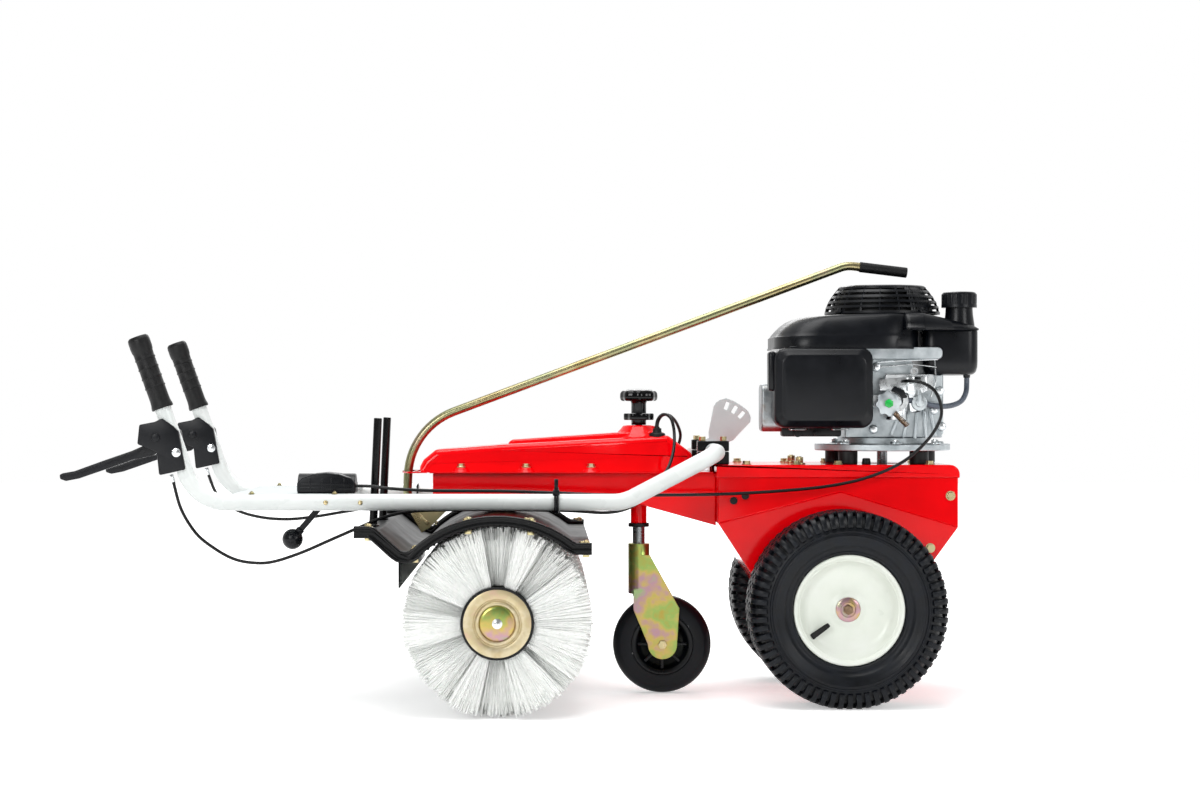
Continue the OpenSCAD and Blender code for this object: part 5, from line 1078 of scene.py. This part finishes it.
class SWEEPER_OT_brush(bpy.types.Operator):
    """Brush head: hood, swivel lever and roller brush"""

    bl_idname = "sweeper.brush"
    bl_label = "Brush head"

    def execute(self, context):
        rounded("brush_gearbox", "black_powder_coat", 1.2)
        rounded("hood_skin", "dusty_black", 1.0)
        rounded("hood_frame", "black_powder_coat", 2.0, 3)
        rounded("hood_bolts", "yellow_zinc", 0.6)
        rounded("swivel_bracket", "yellow_zinc", 1.0)
        rounded("brush_drive", "turned_steel", 0.5)
        rounded("brush_cores", "satin_abs", 0.8)
        run = [(-217, 0, 378), (-260, 0, 410), (-254, 0, 562), (675, 0, 908), (798, 0, 893)]
        line = bent_line(run, [40, 150, 60])
        dressed("swivel_lever", tube(line, 9.4, sides=8), "zinc_bar")
        rounded("swivel_grip", "soft_rubber", 2.0, 3)
        self.hood_beads()
        self.ends()
        self.bristles(context.scene.sweeper_sizes)
        return {"FINISHED"}

    @staticmethod
    def beside(line, off):
        """A line in the XZ plane, moved sideways by a distance in mm"""
        ways = [(b - a).normalized() for a, b in zip([line[0], *line[:-1]], [*line[1:], line[-1]])]
        return [q + Vector((-w.z, 0, w.x)) * off for q, w in zip(line, ways)]

    def hood_beads(self):
        """Pressed end bands of the hood, each between two rolled beads"""
        arc_z, arc_r = 154, 232
        inner, middle, outer = 489, 494, 503
        corners = [(-276, 0, 366), (-243, 0, 366), (-178, 0, 307)]
        corners += [(dx, 0, arc_z + math.sqrt(arc_r ** 2 - dx ** 2)) for dx in range(-150, 147, 12)]
        corners += [(150, 0, 334), (183, 0, 334)]
        radii = [14, 30] + [1] * (len(corners) - 6) + [10, 10]
        line = [Vector((BRUSH.x, 0, 0)) + q for q in bent_line(corners, radii, 5)]
        upper, lower = self.beside(line, 8), self.beside(line, -9)
        band = [(q.x, q.z) for q in [*upper, *reversed(lower)]]
        beads = [slab(band, low, low + 7) for low in (-504, 497)]
        for y in (-outer, -inner, inner, outer):
            beads += [tube([q + Vector((0, y, 0)) for q in edge], 3.2, sides=3) for edge in (upper, lower)]
        show("hood_beads", joined(beads), "black_powder_coat", "brush_head", "black_paint")
        along_hood = ((-249, 366), (-158, 324), (-56, 379), (65, 377), (172, 334))
        spots = [(BRUSH.x + dx, y, z) for dx, z in along_hood for y in (-middle, middle)]
        nuts = [hex_head((x, y, z + 8), (0, 0, 1), 7.5, 5, 10, 2) for x, y, z in spots]
        nuts += [rod((x, y, z - 8), (x, y, z - 17), 7.5, sides=6, edge=0.8) for x, y, z in spots]
        show("hood_nuts", joined(nuts), "yellow_zinc", "brush_head", "yellow_zinc")

    @staticmethod
    def ends():
        """Stamped end plates with their rubber rings and nuts"""
        shaft = solid_copy("brush_shaft")
        reach = 488.5 * MM
        for v in shaft.verts:
            v.co.y = max(-reach, min(reach, v.co.y))
        dressed("brush_shaft", shaft, "turned_steel")
        ring = lathe([(34.8, 488.6), (35.4, 490.4), (37, 492.6), (39, 493.2), (41, 492.6), (43, 490.4),
                      (44.2, 489), (46, 489), (47.4, 491), (50, 492), (63.5, 491.6), (66, 490.6), (67, 488),
                      (34.8, 488), (34.8, 488.6)], 72)
        plate = lathe([(0, 491.2), (14, 491), (28, 490.4), (33.2, 489.4), (34.6, 488.2), (0, 488.2)], 64)
        nut = joined([rod((0, 0, 490.4), (0, 0, 492.4), 10, edge=0.5),
                      rod((0, 0, 492.4), (0, 0, 496.6), 8, sides=6, edge=0.8),
                      rod((0, 0, 496.6), (0, 0, 499.6), 4.6, edge=0.6)])
        rubber = lathe([(60, 484), (69.4, 484), (71, 485.5), (71, 489), (69.4, 490.4), (66.8, 490.4),
                        (60, 489)], 72)
        sides = [on_axle(BRUSH, side) for side in (-1, 1)]
        show("end_plate_rings", repeated(ring, sides), "frosted_zinc", "brush", "yellow_zinc", "end_discs")
        show("end_plate_middles", repeated(plate, sides), "rainbow_zinc", "brush", "yellow_zinc")
        show("end_nuts", repeated(nut, sides), "bright_zinc", "brush", "yellow_zinc")
        show("end_rubbers", repeated(rubber, sides), "soft_rubber", "brush", "black_rubber")

    @staticmethod
    def fans(draw, ring):
        """Where the fans of one ring begin and end, in degrees"""
        if ring == 0:
            return [(100, 156), (172, 196), (238, 257), (281, 314), (323, 398), (60, 78)]
        if ring == 1:
            return [(26, 64), (72, 104), (150, 178), (190, 242), (252, 286), (306, 332)]
        spans, at = [], draw.uniform(0, 40)
        stop = at + 345
        while at < stop:
            wide = draw.uniform(24, 46)
            spans.append((at, min(at + wide, stop)))
            at += wide + draw.uniform(8, 20)
        return spans

    def bristles(self, sizes):
        """Fans of bristles: flat bundles that splay to the tip, with loose filaments among them"""
        draw = random.Random(7)
        bundle = bmesh.new()
        bmesh.ops.create_cone(bundle, cap_ends=True, segments=4, radius1=0.9 * MM, radius2=2.0 * MM, depth=1)
        strand = bmesh.new()
        bmesh.ops.create_cone(strand, cap_ends=True, segments=3, radius1=0.8 * MM, radius2=0.75 * MM,
                              depth=1)
        for bm in (bundle, strand):
            bmesh.ops.translate(bm, vec=(0, 0, 0.5), verts=bm.verts)
        brush_end, run = 484, 440
        pitch = run / sizes.rings
        half = pitch * 0.28
        for side, name in ((-1, "left"), (1, "right")):
            base = on_axle(BRUSH, side)
            thick, thin, sheets = [], [], []
            for ring in range(sizes.rings):
                middle = brush_end - pitch * (ring + 0.45) + (10 if ring == 1 else 0)
                for low, high in self.fans(draw, ring):
                    count = int((high - low) / 1.0)
                    sheets.append(placed(self.sheet(-side * math.radians(high - low), middle, half),
                                         base @ spun(-side * math.radians(low))))
                    for k in range(count):
                        angle = low + (high - low) * (k + 0.5) / count
                        for face in (-1, 1):
                            thick.append(self.strand_place(draw, base, side, angle, middle + face * half,
                                                           1.6, 14, 0.01))
                    for k in range(int(count * 1.3)):
                        angle = draw.uniform(low - 1.5, high + 1.5)
                        thin.append(self.strand_place(draw, base, side, angle, middle, pitch * 0.4, 4, 0.03))
            show(f"{name}_bristle_bundles", joined([*sheets, repeated(bundle.copy(), thick)]),
                 "polypropylene", "brush", "bristle", *(("bristles",) if side < 0 else ()))
            show(f"{name}_bristle_strands", repeated(strand.copy(), thin), "polypropylene", "brush",
                 "bristle")
        bundle.free()
        strand.free()

    @staticmethod
    def sheet(turn, middle, half):
        """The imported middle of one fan, turned about Z from X"""
        bm = bmesh.new()
        section = [(70, middle - half * 0.6), (160, middle - half), (160, middle + half),
                   (70, middle + half * 0.6)]
        face = bm.faces.new([bm.verts.new((r * MM, 0, h * MM)) for r, h in section])
        bmesh.ops.spin(bm, geom=[face, *face.edges, *face.verts], cent=(0, 0, 0), axis=(0, 0, 1),
                       angle=turn, steps=8)
        bmesh.ops.recalc_face_normals(bm, faces=bm.faces)
        return bm

    @staticmethod
    def strand_place(draw, base, side, angle, middle, deep, fray, lean):
        """The frame of one bundle or filament, whose Z runs out to its tip"""
        length = BRISTLE_TIP - BRISTLE_ROOT - abs(draw.gauss(0, fray)) * 0.5
        foot = at(BRISTLE_ROOT, 0, middle + draw.uniform(-deep, deep))
        lean_round = spun(draw.gauss(0, lean))
        lean_aside = spun(draw.gauss(0, lean) + math.pi / 2, "Y")
        drawn_out = Matrix.Diagonal((1, 1, length * MM, 1))
        return base @ spun(-side * math.radians(angle)) @ foot @ lean_round @ lean_aside @ drawn_out


class SWEEPER_PT_panel(bpy.types.Panel):
    """Lists the steps that dress the sweeper"""

    bl_idname = "SWEEPER_PT_panel"
    bl_label = "Power brush sweeper"
    bl_space_type = "VIEW_3D"
    bl_region_type = "UI"
    bl_category = "Sweeper"

    def draw(self, context):
        for group in (context.scene.sweeper_sizes, context.scene.sweeper_colours):
            for key in group.__annotations__:
                self.layout.prop(group, key)
        for step in STEPS:
            self.layout.operator(step.bl_idname)


STEPS = (SWEEPER_OT_stage, SWEEPER_OT_cables, SWEEPER_OT_wheels, SWEEPER_OT_chassis, SWEEPER_OT_caster,
         SWEEPER_OT_engine, SWEEPER_OT_handle, SWEEPER_OT_brush)
CLASSES = (SweeperSizes, SweeperColours, *STEPS, SWEEPER_PT_panel)


def register():
    for kind in CLASSES:
        bpy.utils.register_class(kind)
    bpy.types.Scene.sweeper_sizes = bpy.props.PointerProperty(type=SweeperSizes)
    bpy.types.Scene.sweeper_colours = bpy.props.PointerProperty(type=SweeperColours)


def unregister():
    del bpy.types.Scene.sweeper_colours
    del bpy.types.Scene.sweeper_sizes
    for kind in reversed(CLASSES):
        bpy.utils.unregister_class(kind)


def main():
    register()
    mix_finishes(bpy.context.scene.sweeper_colours)
    for step in STEPS:
        group, name = step.bl_idname.split(".")
        getattr(getattr(bpy.ops, group), name)()


if __name__ == "__main__":
    main()
